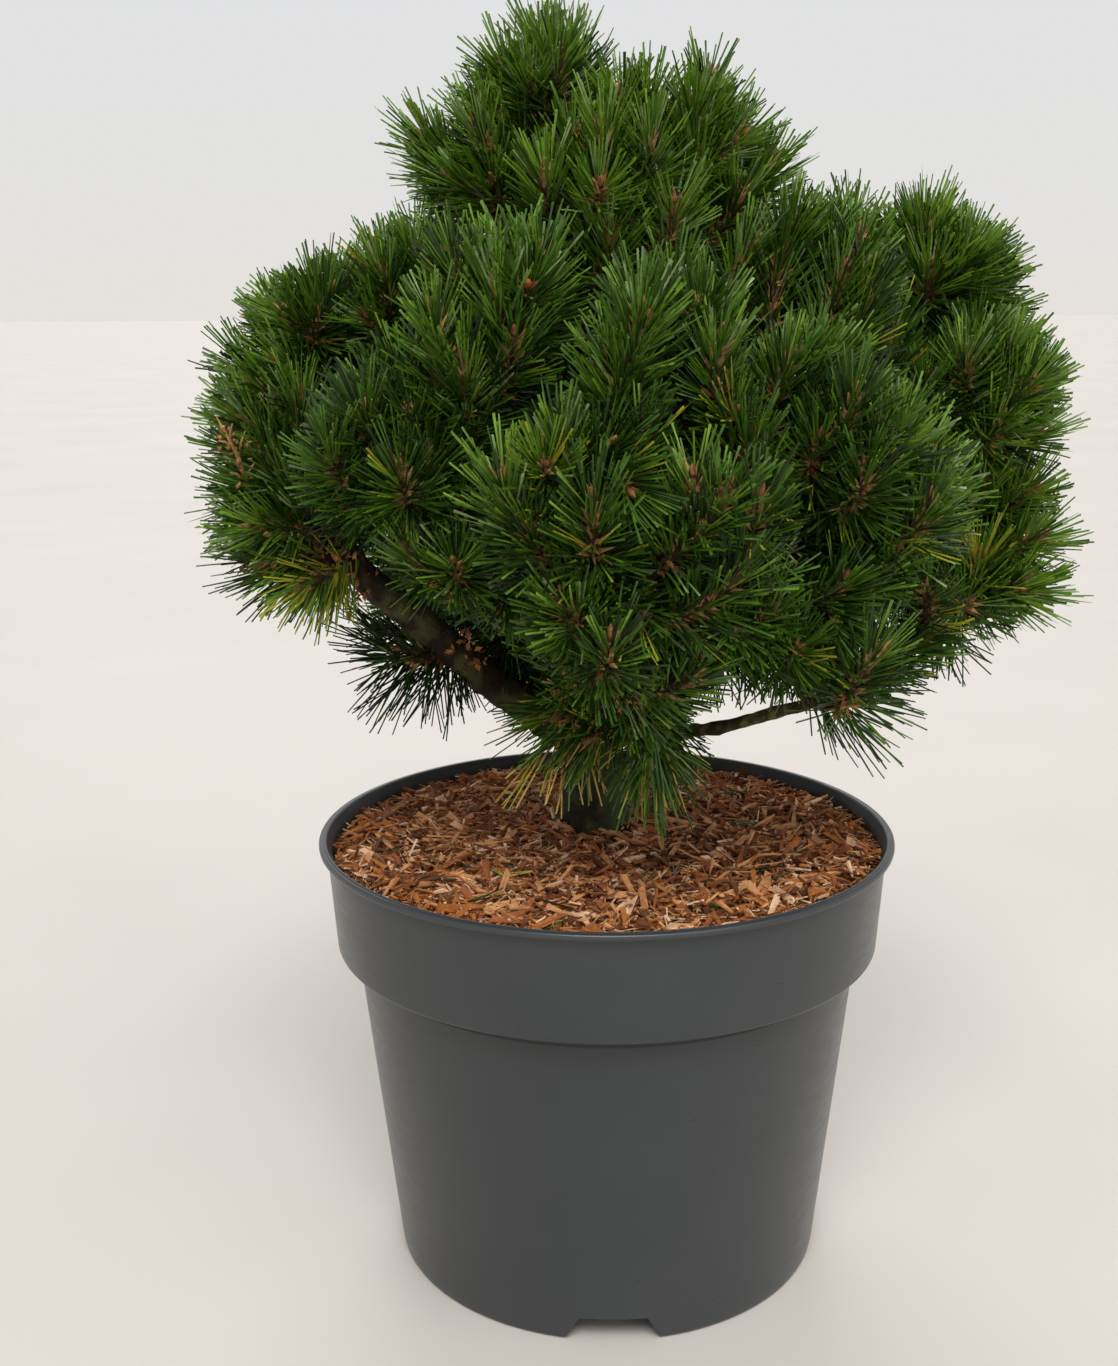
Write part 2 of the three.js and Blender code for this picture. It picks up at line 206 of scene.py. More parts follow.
class Nodes:
    def __init__(self, name):
        self.mat = bpy.data.materials.new(name)
        self.mat.use_nodes = True
        self.tree = self.mat.node_tree
        self.tree.nodes.clear()
        self.out = self.tree.nodes.new("ShaderNodeOutputMaterial")
        self.bsdf = self.tree.nodes.new("ShaderNodeBsdfPrincipled")
        self.link(self.bsdf.outputs["BSDF"], self.out.inputs["Surface"])
        self.coord = self.tree.nodes.new("ShaderNodeTexCoord").outputs["Object"]

    def link(self, a, b):
        self.tree.links.new(a, b)

    def node(self, kind, **values):
        n = self.tree.nodes.new(kind)
        for k, v in values.items():
            setattr(n, k, v)
        return n

    def scaled(self, sx, sy, sz):
        m = self.node("ShaderNodeMapping")
        m.inputs["Scale"].default_value = (sx, sy, sz)
        self.link(self.coord, m.inputs["Vector"])
        return m.outputs["Vector"]

    def noise(self, scale, detail=3.0, rough=0.55, vector=None, distortion=0.0):
        n = self.node("ShaderNodeTexNoise")
        n.inputs["Scale"].default_value = scale
        n.inputs["Detail"].default_value = detail
        n.inputs["Roughness"].default_value = rough
        n.inputs["Distortion"].default_value = distortion
        self.link(vector or self.coord, n.inputs["Vector"])
        return n.outputs["Fac"]

    def voronoi(self, scale, feature="F1", vector=None, output="Distance"):
        n = self.node("ShaderNodeTexVoronoi", feature=feature)
        n.inputs["Scale"].default_value = scale
        self.link(vector or self.coord, n.inputs["Vector"])
        return n.outputs[output]

    def ramp(self, fac, stops):
        n = self.node("ShaderNodeValToRGB")
        el = n.color_ramp.elements
        while len(el) < len(stops):
            el.new(0.5)
        for e, (pos, col) in zip(el, stops):
            e.position = pos
            e.color = col if len(col) == 4 else (*col, 1.0)
        self.link(fac, n.inputs["Fac"])
        return n.outputs["Color"]

    def mix(self, fac, a, b, blend="MIX"):
        n = self.node("ShaderNodeMix", data_type="RGBA", blend_type=blend)
        sockets = [s for s in n.inputs if s.type == "RGBA"]
        if isinstance(fac, (int, float)):
            n.inputs[0].default_value = fac
        else:
            self.link(fac, n.inputs[0])
        for s, x in zip(sockets, (a, b)):
            if isinstance(x, tuple):
                s.default_value = x
            else:
                self.link(x, s)
        return [o for o in n.outputs if o.type == "RGBA"][0]

    def remap(self, value, a, b, c, d):
        n = self.node("ShaderNodeMapRange")
        self.link(value, n.inputs["Value"])
        for k, x in zip(("From Min", "From Max", "To Min", "To Max"), (a, b, c, d)):
            n.inputs[k].default_value = x
        return n.outputs["Result"]

    def maths(self, op, a, b=None):
        n = self.node("ShaderNodeMath", operation=op)
        for s, x in zip(n.inputs, (a, b)):
            if x is None:
                continue
            if isinstance(x, (int, float)):
                s.default_value = x
            else:
                self.link(x, s)
        return n.outputs["Value"]

    def bump(self, height, strength, distance):
        n = self.node("ShaderNodeBump")
        n.inputs["Strength"].default_value = strength
        n.inputs["Distance"].default_value = distance
        self.link(height, n.inputs["Height"])
        self.link(n.outputs["Normal"], self.bsdf.inputs["Normal"])

    def colour(self, x):
        if isinstance(x, tuple):
            self.bsdf.inputs["Base Color"].default_value = x
        else:
            self.link(x, self.bsdf.inputs["Base Color"])

    def rough(self, x):
        if isinstance(x, (int, float)):
            self.bsdf.inputs["Roughness"].default_value = x
        else:
            self.link(x, self.bsdf.inputs["Roughness"])


def needle_material(name, low, high, rough=0.42):
    """Green of one kind of needle: two shades dealt out by a noise finer than a spray."""
    m = Nodes(name)
    fine = m.noise(260.0, 2.0)
    broad = m.noise(38.0, 2.0)
    both = m.maths("ADD", m.maths("MULTIPLY", fine, 0.6), m.maths("MULTIPLY", broad, 0.4))
    m.colour(m.ramp(both, [(0.36, srgb(*low)), (0.64, srgb(*high))]))
    m.rough(m.remap(fine, 0.3, 0.7, rough - 0.06, rough + 0.08))
    m.bsdf.inputs["Specular IOR Level"].default_value = 0.36
    return m.mat


NEEDLE_SHADES = {
    # name: darker and lighter sRGB, roughness
    # bright, mid, deep and dark are one green at four strengths: besides young and old needles they are painted light
    # and painted shade where shoots get them by their place
    "bright": ((72, 110, 18), (118, 152, 46), 0.34),
    "mid": ((47, 81, 12), (80, 117, 27), 0.37),
    "deep": ((30, 55, 9), (51, 81, 18), 0.40),
    "dark": ((17, 31, 8), (31, 50, 13), 0.46),
    "bluish": ((72, 98, 44), (132, 156, 98), 0.30),
    "yellow": ((118, 128, 22), (168, 164, 50), 0.44),
    "ochre": ((140, 112, 46), (190, 158, 84), 0.55),
}
NEEDLE_MATS = {k: needle_material("needles_" + k, *v) for k, v in NEEDLE_SHADES.items()}


def bark_material(name, dark, mid, pale, moss, moss_share, scale=1.0):
    m = Nodes(name)
    plates = m.voronoi(150.0 * scale, vector=m.scaled(1.0, 1.0, 0.45))
    grain = m.noise(420.0 * scale, 5.0, 0.65)
    patches = m.noise(46.0 * scale, 4.0, 0.6)
    base = m.ramp(grain, [(0.28, srgb(*dark)), (0.52, srgb(*mid)), (0.74, srgb(*pale))])
    cracks = m.remap(plates, 0.0, 0.55, 0.0, 1.0)
    base = m.mix(cracks, base, srgb(*dark), "MIX")
    if moss_share:
        spread = m.ramp(patches, [(0.62 - moss_share * 0.3, (0, 0, 0)), (0.70 - moss_share * 0.2, (1, 1, 1))])
        base = m.mix(spread, base, srgb(*moss))
    m.colour(base)
    m.rough(m.remap(grain, 0.2, 0.8, 0.7, 0.95))
    m.bsdf.inputs["Specular IOR Level"].default_value = 0.25
    height = m.maths("SUBTRACT", m.maths("MULTIPLY", grain, 0.7), m.maths("MULTIPLY", plates, 0.9))
    m.bump(height, 0.9, 0.0012)
    return m.mat


MAT_TRUNK = bark_material("bark_trunk", (34, 30, 20), (76, 66, 46), (122, 108, 78), (60, 72, 40), 0.70)
MAT_BOUGH = bark_material("bark_bough", (40, 31, 22), (86, 68, 46), (132, 108, 76), (74, 76, 44), 0.30)
# the thin low bough's moss-green bark is also made much paler than the other barks: painted light on the bough
MAT_MOSSY_PAINTED_LIGHT = bark_material("bark_mossy_and_painted_light", (66, 58, 34), (134, 122, 80), (184, 170, 122), (124, 124, 72), 0.35, 1.5)
MAT_TWIG = bark_material("bark_twig", (56, 38, 26), (104, 76, 52), (156, 124, 90), (84, 92, 50), 0.14, 1.8)
MAT_DEAD = bark_material("bark_dead_twig", (146, 108, 62), (202, 158, 100), (232, 204, 152), (150, 120, 80), 0.0, 1.5)


def plain_material(name, low, high, scale, rough, bump=None, spec=0.35):
    m = Nodes(name)
    n = m.noise(scale, 4.0, 0.6)
    m.colour(m.ramp(n, [(0.32, srgb(*low)), (0.68, srgb(*high))]))
    m.rough(rough)
    m.bsdf.inputs["Specular IOR Level"].default_value = spec
    if bump:
        m.bump(n, bump[0], bump[1])
    return m.mat


MAT_BUD = plain_material("bud_scales", (86, 54, 30), (158, 108, 66), 500.0, 0.55, (0.7, 0.0008))
MAT_BUD_ORANGE = plain_material("bud_scales_orange", (130, 66, 34), (188, 106, 58), 500.0, 0.5, (0.7, 0.0008))
MAT_HUSK = plain_material("rusty_scales", (98, 56, 28), (186, 124, 70), 340.0, 0.60, (0.4, 0.0006))
MAT_SHEATH = plain_material("needle_sheaths", (96, 62, 32), (202, 156, 102), 300.0, 0.58, (0.4, 0.0005))


# ---- pot ------------------------------------------------------------------

POT = dict(
    foot_r=97.2, body_top_r=115.8, body_top_z=144.4, collar_low_r=124.7, collar_low_z=146.4,
    collar_top_r=128.7, lip_r=132.3, lip_h=3.4, lip_w=3.6, height=194.0, wall=2.0, floor=3.0,
)
CHANNEL = dict(angles=(-90, 30, 150), height=10.8, low=41.0, high=29.0, hub=24.0)


def lathe(profile, sides):
    """A closed turned solid from [r, z] millimetre pairs that start and end on the axis."""
    pts = np.array(profile, float) * MM
    inner = pts[1:-1]
    a = np.arange(sides) * 2 * np.pi / sides - math.pi / 2
    ring = np.stack(
        [inner[:, None, 0] * np.cos(a), inner[:, None, 0] * np.sin(a), np.repeat(inner[:, 1:2], sides, 1)], -1
    )
    n = len(inner)
    verts = np.concatenate([ring.reshape(-1, 3), [[0, 0, pts[0, 1]], [0, 0, pts[-1, 1]]]])
    i, j = np.meshgrid(np.arange(n - 1), np.arange(sides), indexing="ij")
    k = (j + 1) % sides
    q0, q1, q2, q3 = i * sides + j, i * sides + k, (i + 1) * sides + k, (i + 1) * sides + j
    tris = [np.stack([q0, q1, q2], -1).reshape(-1, 3), np.stack([q0, q2, q3], -1).reshape(-1, 3)]
    s = np.arange(sides)
    t = (s + 1) % sides
    low, high = len(verts) - 2, len(verts) - 1
    tris.append(np.stack([t, s, np.full(sides, low)], -1))
    e = (n - 1) * sides
    tris.append(np.stack([e + s, e + t, np.full(sides, high)], -1))
    return verts, np.concatenate(tris)


def arc(cx, cz, r, a0, a1, n):
    """Points of a small round in a profile, angles in degrees."""
    return [
        [cx + r * math.cos(math.radians(a)), cz + r * math.sin(math.radians(a))]
        for a in np.linspace(a0, a1, n)
    ]


def pot_profile():
    p = POT
    slope = (p["body_top_r"] - p["foot_r"]) / p["body_top_z"]
    prof = [[0, 0], [p["foot_r"] - 2.2, 0]]
    prof += arc(p["foot_r"] - 1.4, 1.4, 1.4, -80, -5, 4)
    for z in (4, 8.5, 14, 30, 50, 70, 90, 110, 128, 139.4, 142.6):
        prof.append([p["foot_r"] + slope * z, z])
    # the step under the collar: a fine crease, a narrow shelf and its sharp edge
    prof += [[p["body_top_r"] - 0.3, p["body_top_z"] - 0.5], [p["body_top_r"] + 0.2, p["body_top_z"] + 0.3]]
    prof += [[p["collar_low_r"] - 3.2, p["body_top_z"] + 0.4]]
    prof += arc(p["collar_low_r"] - 1.9, p["body_top_z"] + 2.3, 1.9, -86, -2, 7)
    top = p["height"]
    lip0 = top - p["lip_h"]
    z0 = p["body_top_z"] + 2.3
    cr = lambda z: p["collar_low_r"] + (p["collar_top_r"] - p["collar_low_r"]) * (z - z0) / (lip0 - z0)
    for z in (149, 154, 160, 168, 176, 184, 188, lip0 - 0.5):
        prof.append([cr(z), z])
    # the lip: a narrow flange with a round edge and a low bead along its inner side
    prof += [[cr(lip0) + 0.5, lip0 - 0.1], [p["lip_r"] - 1.5, lip0 + 0.1]]
    prof += arc(p["lip_r"] - 1.2, lip0 + 1.3, 1.2, -70, 0, 4)
    prof += arc(p["lip_r"] - 1.3, top - 1.5, 1.3, 5, 80, 5)
    prof += [[p["lip_r"] - 1.9, top - 0.45]]
    prof += arc(p["lip_r"] - p["lip_w"] + 0.9, top - 0.9, 0.9, 80, 178, 5)
    prof += [[cr(189) - p["wall"], 190.0], [cr(170) - p["wall"], 170]]
    prof += [[cr(152) - p["wall"], 149.6], [p["body_top_r"] - p["wall"], 148]]
    prof += [[p["foot_r"] - p["wall"] + 0.6, 4.5], [p["foot_r"] - p["wall"] - 1, p["floor"]], [0, p["floor"]]]
    return prof


def cutter_channel():
    """The three drainage channels as one closed mesh that is taken out of the pot."""
    heap = Heap()
    h, a, b = CHANNEL["height"], CHANNEL["low"] / 2, CHANNEL["high"] / 2
    k = (a - b) / h
    section = [(-a - k, -1.0), (a + k, -1.0)]
    section += [(b + k * 2.2, h - 2.2)]
    section += [(b + k * 0.7, h - 0.8), (b - 0.6, h - 0.15), (b - 2.0, h)]
    section += [(-b + 2.0, h), (-b + 0.6, h - 0.15), (-b - k * 0.7, h - 0.8)]
    section += [(-b - k * 2.2, h - 2.2)]
    n = len(section)
    for ang in CHANNEL["angles"]:
        c, s = math.cos(math.radians(ang)), math.sin(math.radians(ang))
        verts = []
        for r in (CHANNEL["hub"], POT["foot_r"] + 12):
            for x, z in section:
                verts.append([(c * r - s * x) * MM, (s * r + c * x) * MM, z * MM])
        tris = []
        for i in range(n):
            j = (i + 1) % n
            tris += [[i, n + i, n + j], [i, n + j, j]]
        for i in range(1, n - 1):
            tris += [[0, i, i + 1], [n, n + i + 1, n + i]]
        heap.add(verts, tris)
    return heap.done("channel_cutter")


def make_pot():
    verts, tris = lathe(pot_profile(), 208)
    pot = mesh_object("nursery_pot", verts, tris, smooth=True)
    cut = cutter_channel()
    bm = bmesh.new()
    bm.from_mesh(cut.data)
    bmesh.ops.recalc_face_normals(bm, faces=bm.faces)
    bm.to_mesh(cut.data)
    bm.free()
    mod = pot.modifiers.new("channels", "BOOLEAN")
    mod.operation, mod.solver, mod.object = "DIFFERENCE", "EXACT", cut
    bpy.context.view_layer.update()
    done = bpy.data.meshes.new_from_object(pot.evaluated_get(bpy.context.evaluated_depsgraph_get()))
    pot.modifiers.clear()
    pot.data = done
    bpy.data.objects.remove(cut)
    # roofs over the channels, inside the pot
    heap = Heap()
    h, b = CHANNEL["height"], CHANNEL["low"] / 2
    for ang in CHANNEL["angles"]:
        c, s = math.cos(math.radians(ang)), math.sin(math.radians(ang))
        box = []
        for r in (CHANNEL["hub"] - 2.5, POT["foot_r"] - 2.4):
            for x, z in ((-b - 2, 2.9), (b + 2, 2.9), (b - 6, h + 2.5), (-b + 6, h + 2.5)):
                box.append([(c * r - s * x) * MM, (s * r + c * x) * MM, z * MM])
        heap.add(box, [[0, 4, 5], [0, 5, 1], [1, 5, 6], [1, 6, 2], [2, 6, 7], [2, 7, 3], [3, 7, 4], [3, 4, 0],
                       [0, 1, 2], [0, 2, 3], [4, 6, 5], [4, 7, 6]])
    roofs = heap.done("pot_channel_roofs")
    cut = cutter_channel()
    for ob in (cut, roofs):
        bm = bmesh.new()
        bm.from_mesh(ob.data)
        bmesh.ops.recalc_face_normals(bm, faces=bm.faces)
        bm.to_mesh(ob.data)
        bm.free()
    mod = roofs.modifiers.new("channels", "BOOLEAN")
    mod.operation, mod.solver, mod.object = "DIFFERENCE", "EXACT", cut
    bpy.context.view_layer.update()
    done = bpy.data.meshes.new_from_object(roofs.evaluated_get(bpy.context.evaluated_depsgraph_get()))
    roofs.modifiers.clear()
    roofs.data = done
    bpy.data.objects.remove(cut)
    m = Nodes("pot_plastic")
    cloud = m.noise(9.0, 4.0, 0.55)
    fine = m.noise(1500.0, 2.0, 0.5)
    scuff = m.noise(60.0, 6.0, 0.7, vector=m.scaled(1.0, 1.0, 6.0))
    tone = m.ramp(cloud, [(0.3, srgb(45, 49, 51)), (0.7, srgb(53, 56, 58))])
    dust = m.ramp(scuff, [(0.60, (0, 0, 0)), (0.80, (0.10, 0.10, 0.10))])
    m.colour(m.mix(dust, tone, srgb(84, 85, 84)))
    m.rough(m.remap(scuff, 0.3, 0.8, 0.27, 0.40))
    m.bsdf.inputs["Specular IOR Level"].default_value = 0.5
    m.bump(m.maths("ADD", m.maths("MULTIPLY", fine, 0.5), m.maths("MULTIPLY", cloud, 0.5)), 0.08, 0.0006)
    for o in (pot, roofs):
        o.data.materials.clear()
        o.data.materials.append(m.mat)
    # near-black plastic for the inner wall above the mulch and for a band just under the collar's edge: painted shade
    # inside the rim and a painted shadow under the collar
    painted_shade = Nodes("pot_plastic_painted_shade")
    shade_mottle = painted_shade.noise(40.0, 5.0, 0.6)
    painted_shade.colour(painted_shade.ramp(shade_mottle, [(0.35, srgb(24, 24, 25)), (0.70, srgb(38, 37, 36))]))
    painted_shade.rough(painted_shade.remap(shade_mottle, 0.3, 0.7, 0.45, 0.70))
    painted_shade.bump(shade_mottle, 0.15, 0.0008)
    pot.data.materials.append(painted_shade.mat)
    for f in pot.data.polygons:
        zs_f = [pot.data.vertices[i].co.z for i in f.vertices]
        flat = Vector((f.center.x, f.center.y, 0.0))
        inside = min(zs_f) > 0.1475 and max(zs_f) < 0.1933 and flat.length < 0.1287 and f.normal.dot(flat) < 0
        # faces just under the collar's edge take the near-black plastic: a painted shadow line
        crease = min(zs_f) > 0.1390 and max(zs_f) < 0.1450 and f.normal.dot(flat) > 0
        f.material_index = int(inside or crease)
    smooth_by_angle(pot, 35)
    return pot, roofs


def smooth_by_angle(ob, degrees):
    me = ob.data
    for p in me.polygons:
        p.use_smooth = True
    bm = bmesh.new()
    bm.from_mesh(me)
    lim = math.radians(degrees)
    for e in bm.edges:
        e.smooth = not (len(e.link_faces) == 2 and e.calc_face_angle(0.0) > lim)
    bm.to_mesh(me)
    bm.free()


pot, pot_roofs = make_pot()
for piece in (pot, pot_roofs):
    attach(piece, "root")
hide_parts("pot_body", "pot_collar", "pot_floor")
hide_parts("pot_floor")


# ---- growing medium and mulch --------------------------------------------

rng = np.random.default_rng(41)
TRUNK_XY = np.array([-3.0, 21.5])


def mulch_height(x, y):
    """Height of the mulch bed in mm at a point in mm."""
    p = np.stack([x / 26.0, y / 26.0, np.full(np.shape(x), 3.3)], -1).reshape(-1, 3)
    lump = noise(p, 5).reshape(np.shape(x)) - 0.5
    p2 = np.stack([x / 9.0, y / 9.0, np.full(np.shape(x), 8.3)], -1).reshape(-1, 3)
    lump2 = noise(p2, 9).reshape(np.shape(x)) - 0.5
    far = np.hypot(x - TRUNK_XY[0], y - TRUNK_XY[1]) / 120.0
    rim = np.clip((np.hypot(x, y) - 96.0) / 28.0, 0, 1) * np.clip(-y / 60.0, 0, 1)
    return 186.0 + 2.6 * np.exp(-6 * far * far) + 2.6 * rim + 2.4 * lump + 1.8 * lump2


def make_beds():
    sides, rings = 96, 34
    a = np.arange(sides) * 2 * np.pi / sides
    rr = np.linspace(0, 125.9, rings)[1:]
    R, A = np.meshgrid(rr, a, indexing="ij")
    x, y = R * np.cos(A), R * np.sin(A)
    z = mulch_height(x, y) - 2.6
    top = np.stack([x, y, z], -1).reshape(-1, 3)
    skirt = np.stack([125.9 * np.cos(a), 125.9 * np.sin(a), np.full(sides, 172.0)], -1)
    verts = np.concatenate([top, skirt, [[0, 0, 186.0], [0, 0, 172.0]]]) * MM
    n = rings
    i, j = np.meshgrid(np.arange(n - 1), np.arange(sides), indexing="ij")
    k = (j + 1) % sides
    q0, q1, q2, q3 = i * sides + j, i * sides + k, (i + 1) * sides + k, (i + 1) * sides + j
    tris = [np.stack([q0, q2, q1], -1).reshape(-1, 3), np.stack([q0, q3, q2], -1).reshape(-1, 3)]
    s = np.arange(sides)
    t = (s + 1) % sides
    top_i, low_i = len(verts) - 2, len(verts) - 1
    tris.append(np.stack([s, t, np.full(sides, top_i)], -1))
    e = (n - 1) * sides
    tris.append(np.stack([e + t, e + s, np.full(sides, low_i)], -1))
    bed = mesh_object("mulch_bed", verts, np.concatenate(tris), smooth=True)
    m = Nodes("mulch_dark")
    g = m.noise(260.0, 6.0, 0.7)
    m.colour(m.ramp(g, [(0.3, srgb(28, 15, 8)), (0.55, srgb(62, 34, 17)), (0.75, srgb(92, 54, 28))]))
    m.rough(0.92)
    m.bump(g, 0.8, 0.003)
    bed.data.materials.append(m.mat)

    # the root ball, seen only through the drain holes and where the pot is cut
    prof = [[0, 14.2], [96.6, 14.2], [113.0, 147.5], [122.6, 150.5], [124.6, 171.5], [0, 171.5]]
    v, f = lathe(prof, 96)
    ball = mesh_object("growing_medium", v, f, smooth=False)
    m = Nodes("peat_and_bark")
    g = m.noise(180.0, 6.0, 0.7)
    m.colour(m.ramp(g, [(0.35, srgb(20, 14, 10)), (0.7, srgb(66, 48, 34))]))
    m.rough(0.95)
    m.bump(g, 0.9, 0.003)
    ball.data.materials.append(m.mat)
    return bed, ball


bed, ball = make_beds()

CHIP_SHADES = {
    # name: darker and lighter sRGB, share of the chips
    "russet": ((112, 60, 29), (168, 100, 56), 0.32),
    "brown": ((66, 36, 18), (118, 70, 38), 0.24),
    "tan": ((168, 106, 62), (216, 160, 108), 0.22),
    "cream": ((200, 150, 110), (242, 206, 170), 0.10),
    "ochre": ((142, 80, 32), (186, 118, 56), 0.09),
    "olive": ((84, 62, 32), (130, 98, 56), 0.03),
}


def chip_material(name, low, high):
    m = Nodes(name)
    grain = m.noise(380.0, 5.0, 0.65)
    patch = m.noise(70.0, 3.0)
    both = m.maths("ADD", m.maths("MULTIPLY", grain, 0.55), m.maths("MULTIPLY", patch, 0.45))
    m.colour(m.ramp(both, [(0.34, srgb(*low)), (0.62, srgb(*high))]))
    m.rough(m.remap(grain, 0.3, 0.7, 0.62, 0.85))
    m.bsdf.inputs["Specular IOR Level"].default_value = 0.3
    m.bump(grain, 0.5, 0.0008)
    return m.mat


def chip_batch(centres, length, width, thick, heading, pitch, roll, rng):
    """Shredded chips: flat slivers with ragged, slanting ends. Everything in mm."""
    n = len(centres)
    j = lambda lo, hi: rng.uniform(lo, hi, n)
    xs = [-0.5 + j(0, 0.22), 0.5 - j(0, 0.22), 0.5 - j(0, 0.22), -0.5 + j(0, 0.22)]
    ys = [-j(0.15, 0.5), -j(0.15, 0.5), j(0.15, 0.5), j(0.15, 0.5)]
    twist, cup = j(-0.35, 0.35), j(-0.9, 1.5)
    out = []
    for side in (-0.5, 0.5):
        for c, (x, y) in enumerate(zip(xs, ys)):
            z = side * thick + twist * np.sign(x) * y * width + (cup * 0.30 * width if c in (1, 3) else 0.0)
            out.append(np.stack([x * length, y * width, z], -1))
    local = np.stack(out, 1)
    ch, sh = np.cos(heading), np.sin(heading)
    cp, sp = np.cos(pitch), np.sin(pitch)
    cr, sr = np.cos(roll), np.sin(roll)
    x, y, z = local[..., 0], local[..., 1], local[..., 2]
    y, z = y * cr[:, None] - z * sr[:, None], y * sr[:, None] + z * cr[:, None]
    x, z = x * cp[:, None] + z * sp[:, None], -x * sp[:, None] + z * cp[:, None]
    x, y = x * ch[:, None] - y * sh[:, None], x * sh[:, None] + y * ch[:, None]
    verts = np.stack([x, y, z], -1) + centres[:, None, :]
    face = [[0, 2, 1], [0, 3, 2], [4, 5, 6], [4, 6, 7]]
    for a in range(4):
        b = (a + 1) % 4
        face += [[a, b, 4 + b], [a, 4 + b, 4 + a]]
    tris = (np.array(face)[None] + (np.arange(n) * 8)[:, None, None]).reshape(-1, 3)
    return verts.reshape(-1, 3) * MM, tris


def wedges(foot, tip, foot_side, tip_side):
    """Slips of four faces: an edge at the foot and an edge across it at the tip."""
    n = len(foot)
    verts = np.stack([foot + foot_side, foot - foot_side, tip + tip_side, tip - tip_side], 1)
    flip = np.einsum("ij,ij->i", np.cross(tip_side, foot_side), tip - foot) < 0
    face = np.array([[0, 2, 1], [0, 1, 3], [0, 3, 2], [1, 2, 3]])
    tris = face[None] + (np.arange(n) * 4)[:, None, None]
    tris[flip] = tris[flip][:, :, ::-1]
    return verts.reshape(-1, 3), tris.reshape(-1, 3)


def make_chips():
    rng = np.random.default_rng(17)
    n = 7600
    r = 126.0 * np.sqrt(rng.uniform(0.0, 1.0, n))
    a = rng.uniform(0, 2 * np.pi, n)
    x, y = r * np.cos(a), r * np.sin(a)
    length = np.clip(rng.lognormal(2.10, 0.45, n), 3.5, 22.0)
    width = np.clip(length * rng.uniform(0.07, 0.26, n), 0.7, 3.4)
    thick = rng.uniform(0.4, 1.2, n)
    # broad, thin flakes among the fibres
    flake = rng.uniform(0, 1, n) < 0.16
    length[flake] = rng.uniform(7.0, 16.0, flake.sum())
    width[flake] = length[flake] * rng.uniform(0.18, 0.36, flake.sum())
    thick[flake] = rng.uniform(0.4, 0.8, flake.sum())
    # shreds tend to lie in swathes
    swathe = noise(np.stack([x / 22.0, y / 22.0, np.full(n, 1.7)], -1), 13) * 2 * np.pi
    heading = np.where(rng.uniform(0, 1, n) < 0.55, swathe + rng.normal(0, 0.45, n), rng.uniform(0, np.pi, n))
    pitch = rng.normal(0, 0.30, n)
    roll = rng.normal(0, 0.55, n)
    # a few long pale splinters and broad flakes
    big = rng.uniform(0, 1, n) < 0.018
    length[big] = rng.uniform(20, 34, big.sum())
    width[big] = rng.uniform(2.0, 5.0, big.sum())
    pitch[big] *= 0.3
    reach = 0.5 * length
    keep = (np.hypot(x, y) + 0.60 * reach < 125.6) & (np.hypot(x + 3, y - 21.5) > 15.5)
    x, y, length, width, thick, heading, pitch, roll = (
        v[keep] for v in (x, y, length, width, thick, heading, pitch, roll)
    )
    n = len(x)
    # the last ones lie highest
    level = np.linspace(-3.0, 2.2, n) + rng.uniform(-0.6, 0.6, n) + 0.25 * np.abs(pitch) * length
    level[length > 19.5] = rng.uniform(1.0, 2.6, (length > 19.5).sum())
    z = mulch_height(x, y) + level
    centres = np.stack([x, y, z], -1)
    names = list(CHIP_SHADES)
    share = np.array([CHIP_SHADES[k][2] for k in names])
    kind = rng.choice(len(names), n, p=share / share.sum())
    # ochre flakes gather along the rim, pale splinters in the middle
    rim = np.hypot(x, y) > 104
    swap = rim & (rng.uniform(0, 1, n) < 0.30)
    kind[swap] = names.index("ochre")
    kind[(length > 19.5) & ~rim & (rng.uniform(0, 1, n) < 0.7)] = names.index("tan")
    # fine fibres between and on the chips
    nf = 7000
    r = 125.0 * np.sqrt(rng.uniform(0.0, 1.0, nf))
    a = rng.uniform(0, 2 * np.pi, nf)
    x, y = r * np.cos(a), r * np.sin(a)
    keep = np.hypot(x + 3, y - 21.5) > 15.5
    x, y = x[keep], y[keep]
    nf = len(x)
    f_c = np.stack([x, y, mulch_height(x, y) + rng.uniform(-2.0, 2.6, nf)], -1)
    f_a = noise(np.stack([x / 22.0, y / 22.0, np.full(nf, 1.7)], -1), 13) * 2 * np.pi + rng.normal(0, 0.7, nf)
    f_p = rng.normal(0, 0.25, nf)
    f_d = np.stack([np.cos(f_a) * np.cos(f_p), np.sin(f_a) * np.cos(f_p), np.sin(f_p)], -1)
    f_l = np.clip(rng.lognormal(2.1, 0.4, nf), 4.0, 16.0)
    f_l = np.minimum(f_l, 2 * (125.6 - np.hypot(x, y)) + 3.0)
    f_w = rng.uniform(0.5, 1.1, nf)
    f_kind = rng.choice(len(names), nf, p=[0.26, 0.20, 0.26, 0.17, 0.08, 0.03])
    out = []
    for i, k in enumerate(names):
        s = kind == i
        v, t = chip_batch(centres[s], length[s], width[s], thick[s], heading[s], pitch[s], roll[s], rng)
        heap = Heap()
        heap.add(v, t)
        s = f_kind == i
        u, w = side_vectors(f_d[s], rng)
        half, wide = 0.5 * f_l[s][:, None] * f_d[s], 0.5 * f_w[s][:, None]
        heap.add(*wedges((f_c[s] - half) * MM, (f_c[s] + half) * MM, u * wide * MM, w * wide * MM))
        ob = heap.done("mulch_chips_" + k)
        ob.data.materials.append(chip_material("chips_" + k, *CHIP_SHADES[k][:2]))
        out.append(ob)
    return out


chips = make_chips()
for o in [bed, *chips]:
    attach(o, "root")
    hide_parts("mulch")
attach(ball, "root")
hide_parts("root_ball")


# ---- the limbs ------------------------------------------------------------

